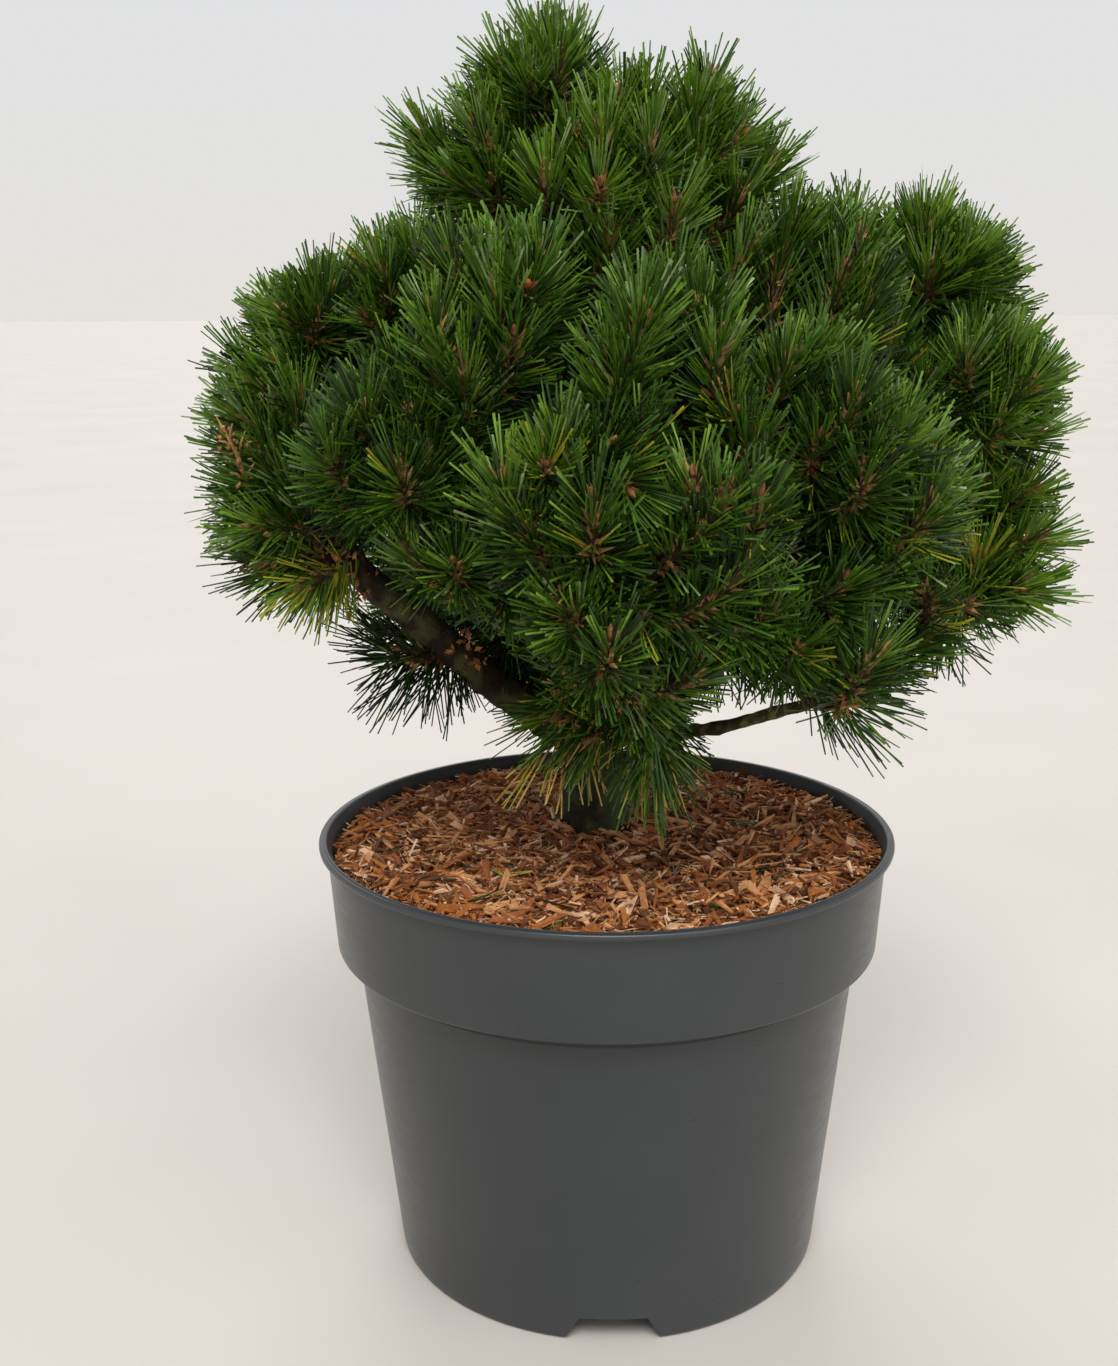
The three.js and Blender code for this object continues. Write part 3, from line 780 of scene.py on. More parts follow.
TRUNK = [
    # x, y, z, radius, in mm
    (-3, 22, 172, 24), (-3, 21.5, 178, 19.5), (-3.5, 21, 186, 16.5), (-4.5, 20, 197, 14.6), (-6, 17, 220, 13.4),
    (-7.5, 13, 250, 12.2), (-9, 9, 290, 10.4), (-11, 6, 340, 8.4), (-13.5, 3, 400, 6.4), (-16, 0, 450, 4.8),
    (-18, -4, 512, 3.0),
]
BOUGHS = {
    # height on the trunk, bend, end, radius from and to, in mm
    "bough_left": (226, (-52, -8, 262), (-136, -44, 352), 8.6, 5.6),
    "bough_right_low": (232, (58, -34, 246), (112, -58, 276), 2.9, 2.3),
    "bough_right": (258, (86, 4, 268), (182, -8, 338), 7.6, 4.4),
    "bough_right_upper": (296, (76, 4, 322), (164, -16, 402), 6.6, 4.0),
    "bough_shoulder_right": (334, (66, 14, 372), (156, 12, 450), 5.6, 3.6),
    "bough_shoulder_left": (306, (-72, 2, 344), (-131, -4, 432), 6.0, 3.8),
    "bough_front": (250, (-4, -50, 268), (-12, -124, 352), 7.2, 4.4),
    "bough_front_right": (286, (38, -36, 306), (78, -90, 392), 5.8, 3.8),
    "bough_front_left": (274, (-42, -34, 296), (-80, -90, 384), 6.0, 3.8),
    "bough_back": (262, (16, 74, 290), (22, 146, 365), 7.0, 4.4),
    "bough_back_left": (242, (-58, 46, 274), (-122, 78, 360), 7.2, 4.4),
    "bough_back_right": (280, (66, 50, 306), (138, 88, 362), 6.6, 4.2),
}


def trunk_at(z):
    t = np.array(TRUNK, float)
    return np.array([np.interp(z, t[:, 2], t[:, i]) for i in range(3)])


def relief_tube(points, radii, sides, seed, plate, depth, flare=None):
    """A limb with bark relief: plates of loose bark, knots and fine furrows."""
    points = np.asarray(points, float)
    n = len(points)
    a = np.arange(sides) * 2 * np.pi / sides
    along = np.concatenate([[0], np.cumsum(np.linalg.norm(np.diff(points, axis=0), axis=1))])
    A, S = np.meshgrid(a, along)
    r = np.repeat(np.asarray(radii, float)[:, None], sides, 1)
    q = np.stack([np.cos(A) * r / plate, np.sin(A) * r / plate, S / (plate * 1.7)], -1).reshape(-1, 3)
    n1 = noise(q, seed).reshape(n, sides)
    n2 = noise(q * 2.6, seed + 1).reshape(n, sides)
    n3 = noise(q * 6.1, seed + 2).reshape(n, sides)
    ridge = np.abs(n1 - 0.5) * 2
    relief = depth * (1.2 * ridge + 0.7 * (n2 - 0.5) + 0.45 * (n3 - 0.5))
    if flare is not None:
        r = r * flare(A, points[:, 2][:, None])
    return tube(points, r + relief, sides)


limb_main = Heap()
# trunk
zs = np.concatenate([np.arange(174.0, 260.0, 1.3), np.arange(260.0, 513.0, 3.0)])
tt = np.array(TRUNK, float)
pts = np.array([trunk_at(z) for z in zs])
wob = noise(np.stack([zs / 30, zs * 0, zs * 0], -1), 3) - 0.5
pts[:, 0] += 2.2 * wob
rad = np.interp(zs, tt[:, 2], tt[:, 3])


def root_flare(A, z):
    fade = np.exp(-(z - 172.0) / 17.0)
    return 1 + fade * (0.16 * np.cos(5 * A + 0.8) + 0.07 * np.cos(3 * A + 2.0) + 0.05 * np.cos(9 * A))


v, t = relief_tube(pts, rad * 0.97, 56, 21, 5.2, 1.5, root_flare)
trunk_verts, trunk_tris = v * MM, t


def bezier2(p0, p1, p2, n):
    t = np.linspace(0, 1, n)[:, None]
    return (1 - t) ** 2 * p0 + 2 * t * (1 - t) * p1 + t * t * p2


# the branching skeleton: points in mm, each with its parent
node_pos, node_parent, node_fixed, node_path = [], [], [], []


def add_node(p, parent, fixed):
    node_pos.append(np.asarray(p, float))
    node_parent.append(parent)
    node_fixed.append(fixed)
    return len(node_pos) - 1


trunk_nodes = []
prev = -1
for z in np.arange(200.0, 513.0, 12.0):
    prev = add_node(trunk_at(z), prev, float(np.interp(z, tt[:, 2], tt[:, 3])))
    trunk_nodes.append(prev)

bough_heap, mossy_heap = Heap(), Heap()
for k, (name, (z0, bend, end, r0, r1)) in enumerate(BOUGHS.items()):
    p0 = trunk_at(z0)
    curve = bezier2(p0, np.array(bend, float), np.array(end, float), 60)
    length = np.linalg.norm(np.diff(curve, axis=0), axis=1).sum()
    n = int(length / 2.6)
    curve = bezier2(p0, np.array(bend, float), np.array(end, float), n)
    s = np.linspace(0, 1, n)
    # a young branch isn't a smooth arc: it kinks a little at each year's whorl
    w1 = noise(np.stack([s * 5 + k * 7.7, s * 0, s * 0], -1), 31) - 0.5
    w2 = noise(np.stack([s * 5 + k * 3.1, s * 0 + 5, s * 0], -1), 33) - 0.5
    ease = np.minimum(1, s * 6)
    curve[:, 2] += 5.0 * w1 * ease
    curve[:, 1] += 5.0 * w2 * ease
    r = r0 + (r1 - r0) * s
    knots = sum(0.16 * np.exp(-(((s - c) / 0.018) ** 2)) for c in (0.22, 0.45, 0.66, 0.86))
    rr = r * (1 + knots)
    v, t = relief_tube(curve, rr, 18 if r0 > 5 else 12, 50 + k, 3.6, 0.85 if r0 > 5 else 0.55)
    (mossy_heap if name == "bough_right_low" else bough_heap).add(v * MM, t)
    parent = trunk_nodes[int(np.argmin([abs(node_pos[i][2] - z0) for i in trunk_nodes]))]
    for i in range(3, n, 5):
        parent = add_node(curve[i], parent, float(r[i]))

# ---- where the shoots are -------------------------------------------------

# Shoots seen from the front: bud (mm), direction, kind.
# Kinds: b bright, m mid, d long and dark, s in shadow and hanging, y yellowing, o ochre scales. The greens of b are
# partly painted light, those of d and s partly painted shade.
SHOOTS = [
    (-19, -26, 544, 0.15, -0.33, 0.93, "b"),
    (-45, -12, 536, -0.43, -0.34, 0.84, "m"),
    (44, -32, 524, 0.03, -0.33, 0.95, "m"),
    (-2, -70, 515, -0.07, -0.32, 0.95, "m"),
    (-56, -38, 514, -0.20, -0.32, 0.93, "m"),
    (16, -67, 512, -0.19, -0.32, 0.93, "m"),
    (-79, -28, 507, -0.46, -0.34, 0.82, "m"),
    (78, -21, 500, 0.32, -0.33, 0.89, "m"),
    (-27, -68, 497, -0.11, -0.32, 0.94, "m"),
    (40, -31, 496, -0.03, -0.32, 0.95, "m"),
    (56, -35, 483, 0.10, -0.32, 0.94, "m"),
    (-77, -35, 476, -0.60, -0.34, 0.72, "m"),
    (27, -59, 476, -0.05, -0.31, 0.95, "m"),
    (85, -53, 475, 0.38, -0.33, 0.86, "m"),
    (151, -4, 474, 0.10, -0.32, 0.94, "m"),
    (81, -58, 471, 0.35, -0.33, 0.88, "m"),
    (106, -59, 468, 0.06, -0.31, 0.95, "m"),
    (1, -67, 465, -0.01, -0.31, 0.95, "m"),
    (-28, -109, 465, 0.01, -0.31, 0.95, "b"),
    (62, -57, 463, 0.50, -0.33, 0.80, "m"),
    (162, -15, 459, 0.42, -0.34, 0.84, "m"),
    (-97, -54, 453, -0.33, -0.32, 0.89, "b"),
    (96, -68, 450, 0.28, -0.32, 0.91, "b"),
    (-44, -123, 444, -0.21, -0.31, 0.93, "b"),
    (-130, -27, 444, -0.52, -0.34, 0.79, "m"),
    (-117, -44, 444, 0.36, -0.30, 0.88, "m"),
    (-32, -124, 443, -0.01, -0.89, 0.45, "b"),
    (105, -65, 440, 0.23, -0.31, 0.92, "m"),
    (11, -137, 437, 0.10, -0.30, 0.95, "b"),
    (183, 3, 437, 0.66, -0.37, 0.65, "m"),
    (-68, -123, 434, -0.23, -0.31, 0.92, "b"),
    (-137, -28, 433, -0.58, -0.34, 0.74, "m"),
    (12, -139, 432, 0.34, -0.31, 0.89, "b"),
    (122, -48, 427, 0.19, -0.31, 0.93, "m"),
    (39, -132, 423, 0.18, -0.30, 0.94, "m"),
    (-149, -38, 419, -0.62, -0.35, 0.70, "m"),
    (72, -110, 417, 0.46, -0.32, 0.83, "b"),
    (151, -49, 416, -0.02, -0.29, 0.96, "b"),
    (-2, -129, 416, -0.25, -0.30, 0.92, "b"),
    (-58, -120, 416, -0.31, -0.30, 0.90, "b"),
    (-84, -98, 415, -0.08, -0.30, 0.95, "m"),
    (-153, -56, 406, -0.71, -0.36, 0.60, "m"),
    (180, -52, 405, 0.47, -0.34, 0.82, "b"),
    (92, -125, 404, 0.14, -0.30, 0.94, "m"),
    (136, -39, 402, 0.05, -0.30, 0.95, "m"),
    (-96, -114, 400, 0.01, -0.29, 0.96, "m"),
    (46, -138, 398, 0.03, -0.87, 0.49, "o"),
    (-128, -55, 398, 0.07, -0.29, 0.95, "m"),
    (102, -121, 396, -0.12, -0.29, 0.95, "b"),
    (-20, -144, 394, 0.01, -0.29, 0.96, "m"),
    (53, -142, 394, 0.16, -0.30, 0.94, "m"),
    (10, -132, 393, -0.01, -0.29, 0.96, "m"),
    (-157, -60, 392, -0.76, -0.37, 0.53, "m"),
    (-55, -107, 388, -0.20, -0.29, 0.94, "m"),
    (113, -109, 387, 0.27, -0.30, 0.91, "b"),
    (-108, -115, 387, 0.17, -0.29, 0.94, "m"),
    (166, -48, 386, 0.32, -0.32, 0.89, "m"),
    (79, -116, 384, 0.15, -0.29, 0.94, "m"),
    (186, -38, 381, 0.69, -0.37, 0.62, "m"),
    (-42, -150, 377, -0.11, -0.29, 0.95, "m"),
    (-144, -59, 376, -0.50, -0.32, 0.81, "m"),
    (95, -122, 375, -0.13, -0.28, 0.95, "m"),
    (-80, -124, 374, -0.06, -0.29, 0.96, "m"),
    (28, -149, 374, -0.14, -0.28, 0.95, "b"),
    (-149, -66, 370, -0.79, -0.37, 0.48, "m"),
    (40, -153, 369, 0.29, -0.29, 0.91, "b"),
    (-9, -155, 366, -0.08, -0.28, 0.96, "m"),
    (52, -151, 366, 0.21, -0.29, 0.93, "m"),
    (-108, -102, 362, -0.14, -0.88, 0.46, "m"),
    (-61, -102, 360, -0.55, -0.31, 0.77, "m"),
    (124, -105, 359, 0.04, -0.29, 0.96, "m"),
    (165, -29, 358, 0.27, -0.30, 0.91, "m"),
    (-31, -145, 358, -0.12, -0.28, 0.95, "m"),
    (188, -38, 357, 0.73, -0.38, 0.57, "m"),
    (-148, -71, 346, -0.90, -0.43, 0.11, "m"),
    (79, -85, 346, 0.26, -0.29, 0.92, "b"),
    (14, -113, 346, -0.14, -0.28, 0.95, "m"),
    (47, -146, 343, 0.25, -0.29, 0.92, "m"),
    (-9, -133, 342, -0.07, -0.28, 0.96, "m"),
    (114, -96, 338, 0.17, -0.29, 0.94, "m"),
    (185, -40, 335, 0.74, -0.38, 0.55, "m"),
    (160, -48, 330, 0.07, -0.28, 0.96, "y"),
    (91, -104, 328, 0.39, -0.30, 0.87, "b"),
    (-145, -60, 328, -0.87, -0.46, -0.17, "d"),
    (-20, -141, 328, -0.13, -0.27, 0.95, "m"),
    (-16, -144, 327, -0.24, -0.28, 0.93, "m"),
    (32, -128, 322, 0.26, -0.28, 0.92, "m"),
    (185, -51, 321, 0.71, -0.37, 0.60, "m"),
    (-123, -72, 320, -0.59, -0.52, -0.62, "y"),
    (-2, -150, 314, -0.01, -0.27, 0.96, "m"),
    (153, -67, 313, 0.08, -0.87, 0.48, "m"),
    (72, -128, 309, 0.00, -0.81, 0.58, "m"),
    (33, -126, 301, 0.37, -0.29, 0.88, "m"),
    (104, -107, 300, 0.45, -0.30, 0.84, "d"),
    (131, -60, 294, 0.78, -0.37, 0.51, "d"),
    (17, -118, 293, 0.23, -0.97, -0.12, "m"),
    (-85, -37, 278, -0.67, -0.51, -0.55, "s"),
    (-77, -39, 277, -0.53, -0.52, -0.67, "s"),
    (-15, -85, 270, -0.51, -0.52, -0.69, "d"),
    (-31, -42, 264, -0.92, -0.18, -0.34, "d"),
    (-30, -44, 254, -0.88, -0.20, -0.43, "d"),
    (24, -44, 233, -0.19, -0.54, -0.82, "d"),
]

# Shoots at the very outline, and some deep in the valleys between the lobes, the same way.
OUTLINE = [
    (45, -15, 532, 0.06, -0.25, 0.97, "b"),
    (36, -30, 519, -0.25, -0.35, 0.90, "b"),
    (49, -20, 515, 0.40, -0.30, 0.86, "m"),
    (19, -15, 522, 0.02, -0.30, 0.95, "b"),
    (7, -25, 523, -0.15, -0.40, 0.90, "m"),
    (-44, -12, 536, -0.55, -0.32, 0.77, "b"),
    (-53, -20, 521, -0.65, -0.30, 0.70, "m"),
    (-77, -24, 506, -0.58, -0.32, 0.75, "b"),
    (-75, -30, 493, -0.80, -0.30, 0.50, "m"),
    (-64, -40, 488, -0.75, -0.35, 0.55, "m"),
    (70, -20, 496, 0.50, -0.30, 0.81, "b"),
    (107, -10, 473, -0.05, -0.30, 0.95, "b"),
    (140, -8, 470, 0.00, -0.30, 0.95, "b"),
    (160, -10, 455, 0.45, -0.30, 0.84, "m"),
    (-160, -40, 376, -0.85, -0.30, 0.42, "m"),
    (17, 10, 454, 0.10, -0.40, 0.90, "d"),
    (-40, -60, 392, 0.00, -0.60, 0.80, "d"),
    (46, 6, 454, -0.10, -0.35, 0.93, "m"),
    (185, -30, 402, 0.50, -0.30, 0.80, "b"),
    (182, -50, 313, 0.92, -0.30, 0.22, "b"),
    (-159, -20, 410, -0.75, -0.30, 0.60, "m"),
]

# Shoots of the open underside, with the foot they grow from, both in mm:
# bud, foot, kind, needles, their length, their spread at the foot and at the tip in degrees.
DROOPING = [
    ((-91, -20, 283), (-62, 0, 272), "s", 60, 22, 72, 34),
    ((-86, -26, 279), (-70, -4, 279), "s", 44, 22, 70, 34),
    ((-102, -16, 291), (-75, -8, 285), "s", 44, 20, 64, 30),
    ((-127, -70, 321), (-109, -50, 327), "y", 50, 20, 56, 24),
    ((-143, -66, 329), (-115, -50, 330), "d", 70, 22, 62, 24),
    ((-148, -62, 339), (-118, -48, 333), "m", 80, 22, 62, 20),
    ((-67, -72, 331), (-72, -48, 325), "m", 84, 15, 84, 44),
    ((-46, 6, 281), (-38, 12, 296), "s", 90, 24, 70, 34),
    ((-59, 10, 289), (-48, 14, 303), "s", 80, 24, 70, 34),
    ((-28, 4, 269), (-22, 10, 285), "s", 80, 22, 70, 34),
    ((-39, 16, 270), (-30, 18, 292), "s", 80, 24, 70, 34),
    ((-66, 4, 301), (-53, 8, 312), "s", 70, 22, 70, 34),
    ((-50, 15, 268), (-43, 21, 283), "s", 80, 22, 74, 36),
    ((-41, 12, 264), (-34, 18, 279), "s", 80, 22, 74, 36),
    ((-31, 14, 256), (-24, 20, 271), "s", 80, 22, 74, 36),
    ((-20, -64, 263), (-3, -46, 266), "f", 70, 20, 70, 30),
    ((-8, -68, 255), (6, -50, 261), "f", 50, 20, 66, 28),
    ((19, -72, 247), (20, -52, 257), "f", 50, 22, 70, 30),
    ((13, -70, 254), (14, -50, 264), "f", 60, 20, 76, 34),
    ((19, -96, 288), (15, -60, 273), "m", 150, 22, 88, 44),
    ((-27, -48, 263), (-3, -28, 264), "d", 70, 22, 70, 32),
    ((0, -94, 302), (-4, -62, 289), "m", 120, 20, 80, 40),
    ((-30, -78, 301), (-21, -50, 284), "m", 100, 20, 76, 30),
    ((-18, -82, 286), (-8, -50, 271), "m", 90, 20, 80, 36),
    ((100, -60, 271), (86, -44, 272), "h", 26, 24, 60, 26),
    ((103, -62, 269), (88, -46, 274), "h", 14, 26, 52, 24),
    ((117, -62, 282), (101, -52, 273), "d", 60, 21, 66, 28),
    ((112, -62, 290), (102, -54, 271), "m", 60, 18, 74, 40),
    ((80, -74, 297), (76, -48, 278), "m", 120, 21, 84, 44),
    ((152, -56, 309), (147, -26, 298), "m", 130, 22, 88, 48),
    ((148, -42, 293), (141, -24, 296), "d", 46, 22, 76, 40),
]
# Fans of long needles that hang free: a line of feet, a line of tips (both in mm), kind, needles.
FANS = [
    # hanging tuft, dark
    (
        ((-98, -20, 284), (-92, -20, 280), (-78, -14, 276), (-64, -6, 273)),
        ((-104, -20, 306), (-113, -24, 303), (-119, -28, 298), (-121, -30, 291), (-119, -32, 279), (-115, -34, 265), (-115, -32, 254), (-106, -40, 256), (-100, -36, 250), (-91, -44, 256), (-83, -32, 248), (-71, -28, 245), (-66, -36, 252), (-62, -26, 257), (-56, -18, 254)),
        "s", 116,
    ),
    # fan at the left, dark
    (
        ((-127, -58, 331), (-130, -60, 328), (-134, -60, 324)),
        ((-168, -70, 337), (-164, -72, 327), (-165, -70, 319), (-158, -70, 315), (-154, -72, 310), (-147, -68, 308), (-142, -66, 303)),
        "s", 30,
    ),
    # fan at the left, yellow
    (
        ((-109, -54, 328), (-117, -60, 326), (-127, -62, 324)),
        ((-106, -64, 302), (-109, -70, 306), (-115, -66, 302), (-118, -70, 300), (-122, -64, 301), (-127, -72, 300), (-134, -70, 303), (-137, -74, 306), (-144, -72, 310), (-151, -74, 316)),
        "v", 70,
    ),
    # rosette under the left gap
    (
        ((-72, -70, 330), (-67, -72, 328), (-63, -70, 328)),
        ((-90, -74, 324), (-89, -76, 319), (-87, -72, 312), (-83, -74, 308), (-76, -78, 311), (-67, -80, 315), (-61, -76, 316), (-56, -72, 319), (-52, -70, 324)),
        "m", 46,
    ),
    # foot, left, straw
    (
        ((-27, -62, 252), (-19, -64, 259), (-7, -60, 262)),
        ((-53, -74, 231), (-45, -76, 229), (-41, -78, 228), (-30, -74, 231), (-20, -76, 224), (-13, -74, 228), (-8, -72, 228), (-2, -70, 234)),
        "t", 26,
    ),
    # foot, left, green
    (
        ((-13, -60, 262), (-4, -60, 263), (5, -58, 263)),
        ((-44, -72, 247), (-37, -76, 243), (-27, -74, 240), (-21, -78, 243), (-19, -74, 234), (-8, -76, 238), (2, -70, 238), (5, -72, 242)),
        "f", 60,
    ),
    # foot, right
    (
        ((13, -70, 253), (17, -74, 256), (22, -74, 256)),
        ((-5, -76, 236), (1, -78, 231), (3, -76, 221), (8, -80, 220), (14, -76, 217), (19, -78, 215), (22, -76, 210), (25, -80, 218), (29, -74, 219), (38, -72, 219), (41, -74, 230), (44, -70, 240)),
        "f", 84,
    ),
    # foot, far left
    (
        ((-26, -46, 259), (-20, -50, 265), (-16, -50, 267)),
        ((-52, -60, 247), (-53, -58, 252), (-49, -56, 263), (-43, -56, 268), (-38, -58, 271), (-34, -58, 243)),
        "f", 34,
    ),
    # hanging at the right
    (
        ((85, -58, 269), (93, -60, 272), (104, -60, 273)),
        ((90, -62, 255), (93, -66, 247), (100, -64, 243), (105, -68, 239), (113, -64, 235), (119, -68, 237), (124, -62, 240), (127, -66, 247), (132, -62, 256), (133, -66, 261), (139, -62, 263), (129, -60, 272), (133, -60, 278)),
        "h", 52,
    ),
    # wisps over the low gap
    (
        ((57, -56, 281), (68, -58, 279), (80, -56, 275)),
        ((59, -60, 265), (64, -62, 267), (68, -58, 267), (71, -60, 266), (77, -60, 256)),
        "h", 14,
    ),
    # wisps above the low bough
    (
        ((40, -46, 285), (57, -44, 287), (79, -44, 288), (103, -44, 291)),
        ((38, -52, 267), (49, -52, 262), (60, -54, 265), (72, -54, 267), (84, -56, 270), (99, -56, 272)),
        "h", 60,
    ),
    # wisps at the far right
    (
        ((136, -40, 295), (143, -44, 296), (152, -46, 298)),
        ((127, -46, 288), (133, -48, 276), (138, -50, 282), (142, -48, 278), (145, -52, 278), (149, -50, 272), (154, -50, 281)),
        "s", 24,
    ),
]

mass_objects = {n: o for n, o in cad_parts.items() if n.startswith("mass_")}
all_v, all_f, owner, off = [], [], [], 0
for name in sorted(mass_objects):
    me = mass_objects[name].data
    me.calc_loop_triangles()
    v = np.empty(len(me.vertices) * 3)
    me.vertices.foreach_get("co", v)
    f = np.empty(len(me.loop_triangles) * 3, int)
    me.loop_triangles.foreach_get("vertices", f)
    all_v.append(v.reshape(-1, 3))
    all_f.append(f.reshape(-1, 3) + off)
    owner += [name] * len(me.loop_triangles)
    off += len(me.vertices)
all_v, all_f = np.concatenate(all_v), np.concatenate(all_f)
bvh = BVHTree.FromPolygons(all_v.tolist(), all_f.tolist(), all_triangles=True)
tri_p = all_v[all_f]
tri_n = np.cross(tri_p[:, 1] - tri_p[:, 0], tri_p[:, 2] - tri_p[:, 0])
tri_a = np.linalg.norm(tri_n, axis=1) / 2
tri_n = unit(tri_n)

rng = np.random.default_rng(5)
CORE = np.array([0.0, 0.005, 0.33])
EYE = np.array([-0.0207, -0.7446, 0.4397])


def outer_points(count):
    """Random points of the crown's outer surface, with outward normals."""
    pick = rng.choice(len(tri_a), count, p=tri_a / tri_a.sum())
    u, w = rng.uniform(0, 1, count), rng.uniform(0, 1, count)
    flip = u + w > 1
    u[flip], w[flip] = 1 - u[flip], 1 - w[flip]
    p = tri_p[pick, 0] + u[:, None] * (tri_p[pick, 1] - tri_p[pick, 0]) + w[:, None] * (tri_p[pick, 2] - tri_p[pick, 0])
    n = tri_n[pick]
    good = []
    for i in range(count):
        o = Vector(p[i] + n[i] * 0.0015)
        d = Vector(unit(n[i] + 0.35 * UP + 0.5 * unit(p[i] - CORE)))
        hit = bvh.ray_cast(o, d, 0.06)[0]
        hit2 = bvh.ray_cast(o, Vector(n[i]), 0.03)[0]
        good.append(hit is None and hit2 is None)
    good = np.array(good)
    return p[good], n[good], [owner[j] for j in pick[good]]


def outward(p):
    """Horizontal way out from the crown's axis at p (m), 0 on the axis."""
    v = np.array([p[0] + 0.010, p[1] - 0.005, 0.0])
    d = np.linalg.norm(v)
    return v / max(d, 0.05)


def outside(q):
    """How far q (m) lies outside the masses, negative inside."""
    co, nn, _, dist = bvh.find_nearest(Vector(q))
    return dist if (Vector(q) - co).dot(nn) > 0 else -dist


def drawn_in(bud, d, n, margin=0.0020):
    """Moves a bud inward until the needles round it end near the crown's surface."""
    side = unit(np.cross(d, UP) + 1e-6)
    ways = [d, unit(d + 0.55 * n), unit(d + 0.5 * side), unit(d - 0.5 * side)]
    for _ in range(3):
        over = max(outside(bud + w * 0.0200) for w in ways) - margin
        if over <= 0:
            break
        bud = bud - unit(0.6 * n + 0.4 * d) * over
    return bud


_gold = np.arange(26) * math.pi * (3 - math.sqrt(5))
_z = 1 - (np.arange(26) + 0.5) / 26 * 1.05
SPHERE_WAYS = np.stack([np.sqrt(np.maximum(0, 1 - _z * _z)) * np.cos(_gold), np.sqrt(np.maximum(0, 1 - _z * _z)) * np.sin(_gold), _z], 1)


def openness(p, n):
    """Share of the ways out from a surface point that meet no other mass within 80 mm."""
    a = unit(n + 0.5 * UP)
    u, w = side_vectors(a[None])
    o = Vector(p + n * 0.004)
    free = 0
    for x, y, z in SPHERE_WAYS:
        way = u[0] * x + w[0] * y + a * z
        free += bvh.ray_cast(o, Vector(way), 0.08)[0] is None
    return free / len(SPHERE_WAYS)


# the left bough shows here, in mm, with the room in front of it that stays open
SHOWN = [(-106, -44, 318), (-96, -42, 310), (-85, -38, 300), (-74, -32, 292), (-64, -26, 284), (-52, -20, 275), (-40, -12, 264)]


def before_bough(q, near):
    """Of the points q (n, 3) in m, those that stand before the part of the left bough that shows."""
    hides = np.zeros(len(q), bool)
    for x, y, z in SHOWN:
        sight = unit(EYE - np.array([x, y, z]) * MM)
        rel = q - np.array([x, y, z]) * MM
        t = rel @ sight
        hides |= (t > 0.003) & (np.linalg.norm(rel - t[:, None] * sight, axis=1) < near)
    return hides


def hides_bough(bud):
    return bool(before_bough(bud[None], 0.020)[0])


class Shoot:
    def __init__(self, bud, d, kind, foot=None, count=None, length=None, spread=None, inner=False):
        self.bud, self.d, self.kind, self.foot = bud, d, kind, foot
        self.count, self.length, self.spread, self.inner = count, length, spread, inner


shoots = []
rng = np.random.default_rng(5)
for bud, foot, kind, count, length, low_a, high_a in DROOPING:
    bud, foot = np.array(bud) * MM, np.array(foot) * MM
    shoots.append(Shoot(bud, unit(bud - foot), kind, foot, count, length * MM, (low_a, high_a)))
for x, y, z, dx, dy, dz, kind in SHOOTS:
    bud = np.array([x, y, z]) * MM
    if kind == "s" or (z < 345 and min(np.linalg.norm(bud - q.bud) for q in shoots[: len(DROOPING)]) < 0.017):
        continue
    d = unit([dx, dy, dz])
    bud = drawn_in(bud, d, unit(d + outward(bud)), 0.0040)
    if hides_bough(bud):
        continue
    # high and outer shoots turn bright: painted light
    if kind == "m" and (z > 450 or abs(x) > 135) and rng.uniform() < 0.7:
        kind = "b"
    shoots.append(Shoot(bud, d, kind))
for x, y, z, dx, dy, dz, kind in OUTLINE:
    shoots.append(Shoot(np.array([x, y, z]) * MM, unit([dx, dy, dz]), kind))
by_hand = len(shoots)

def past_outline(bud):
    """Whether a bud (m) lies where the photo's outline leaves no room for its needles."""
    x, y, z = bud / MM
    if y > 30:
        return False
    return (
        (x > 116 and z < 314 and y < 4)
        or (-152 < x < -84 and z < 322 and y < 4)
        or (x > -14 and z > 531)
        or (x < -132 and z > 436)
        or (x > 187 and z < 372)
    )


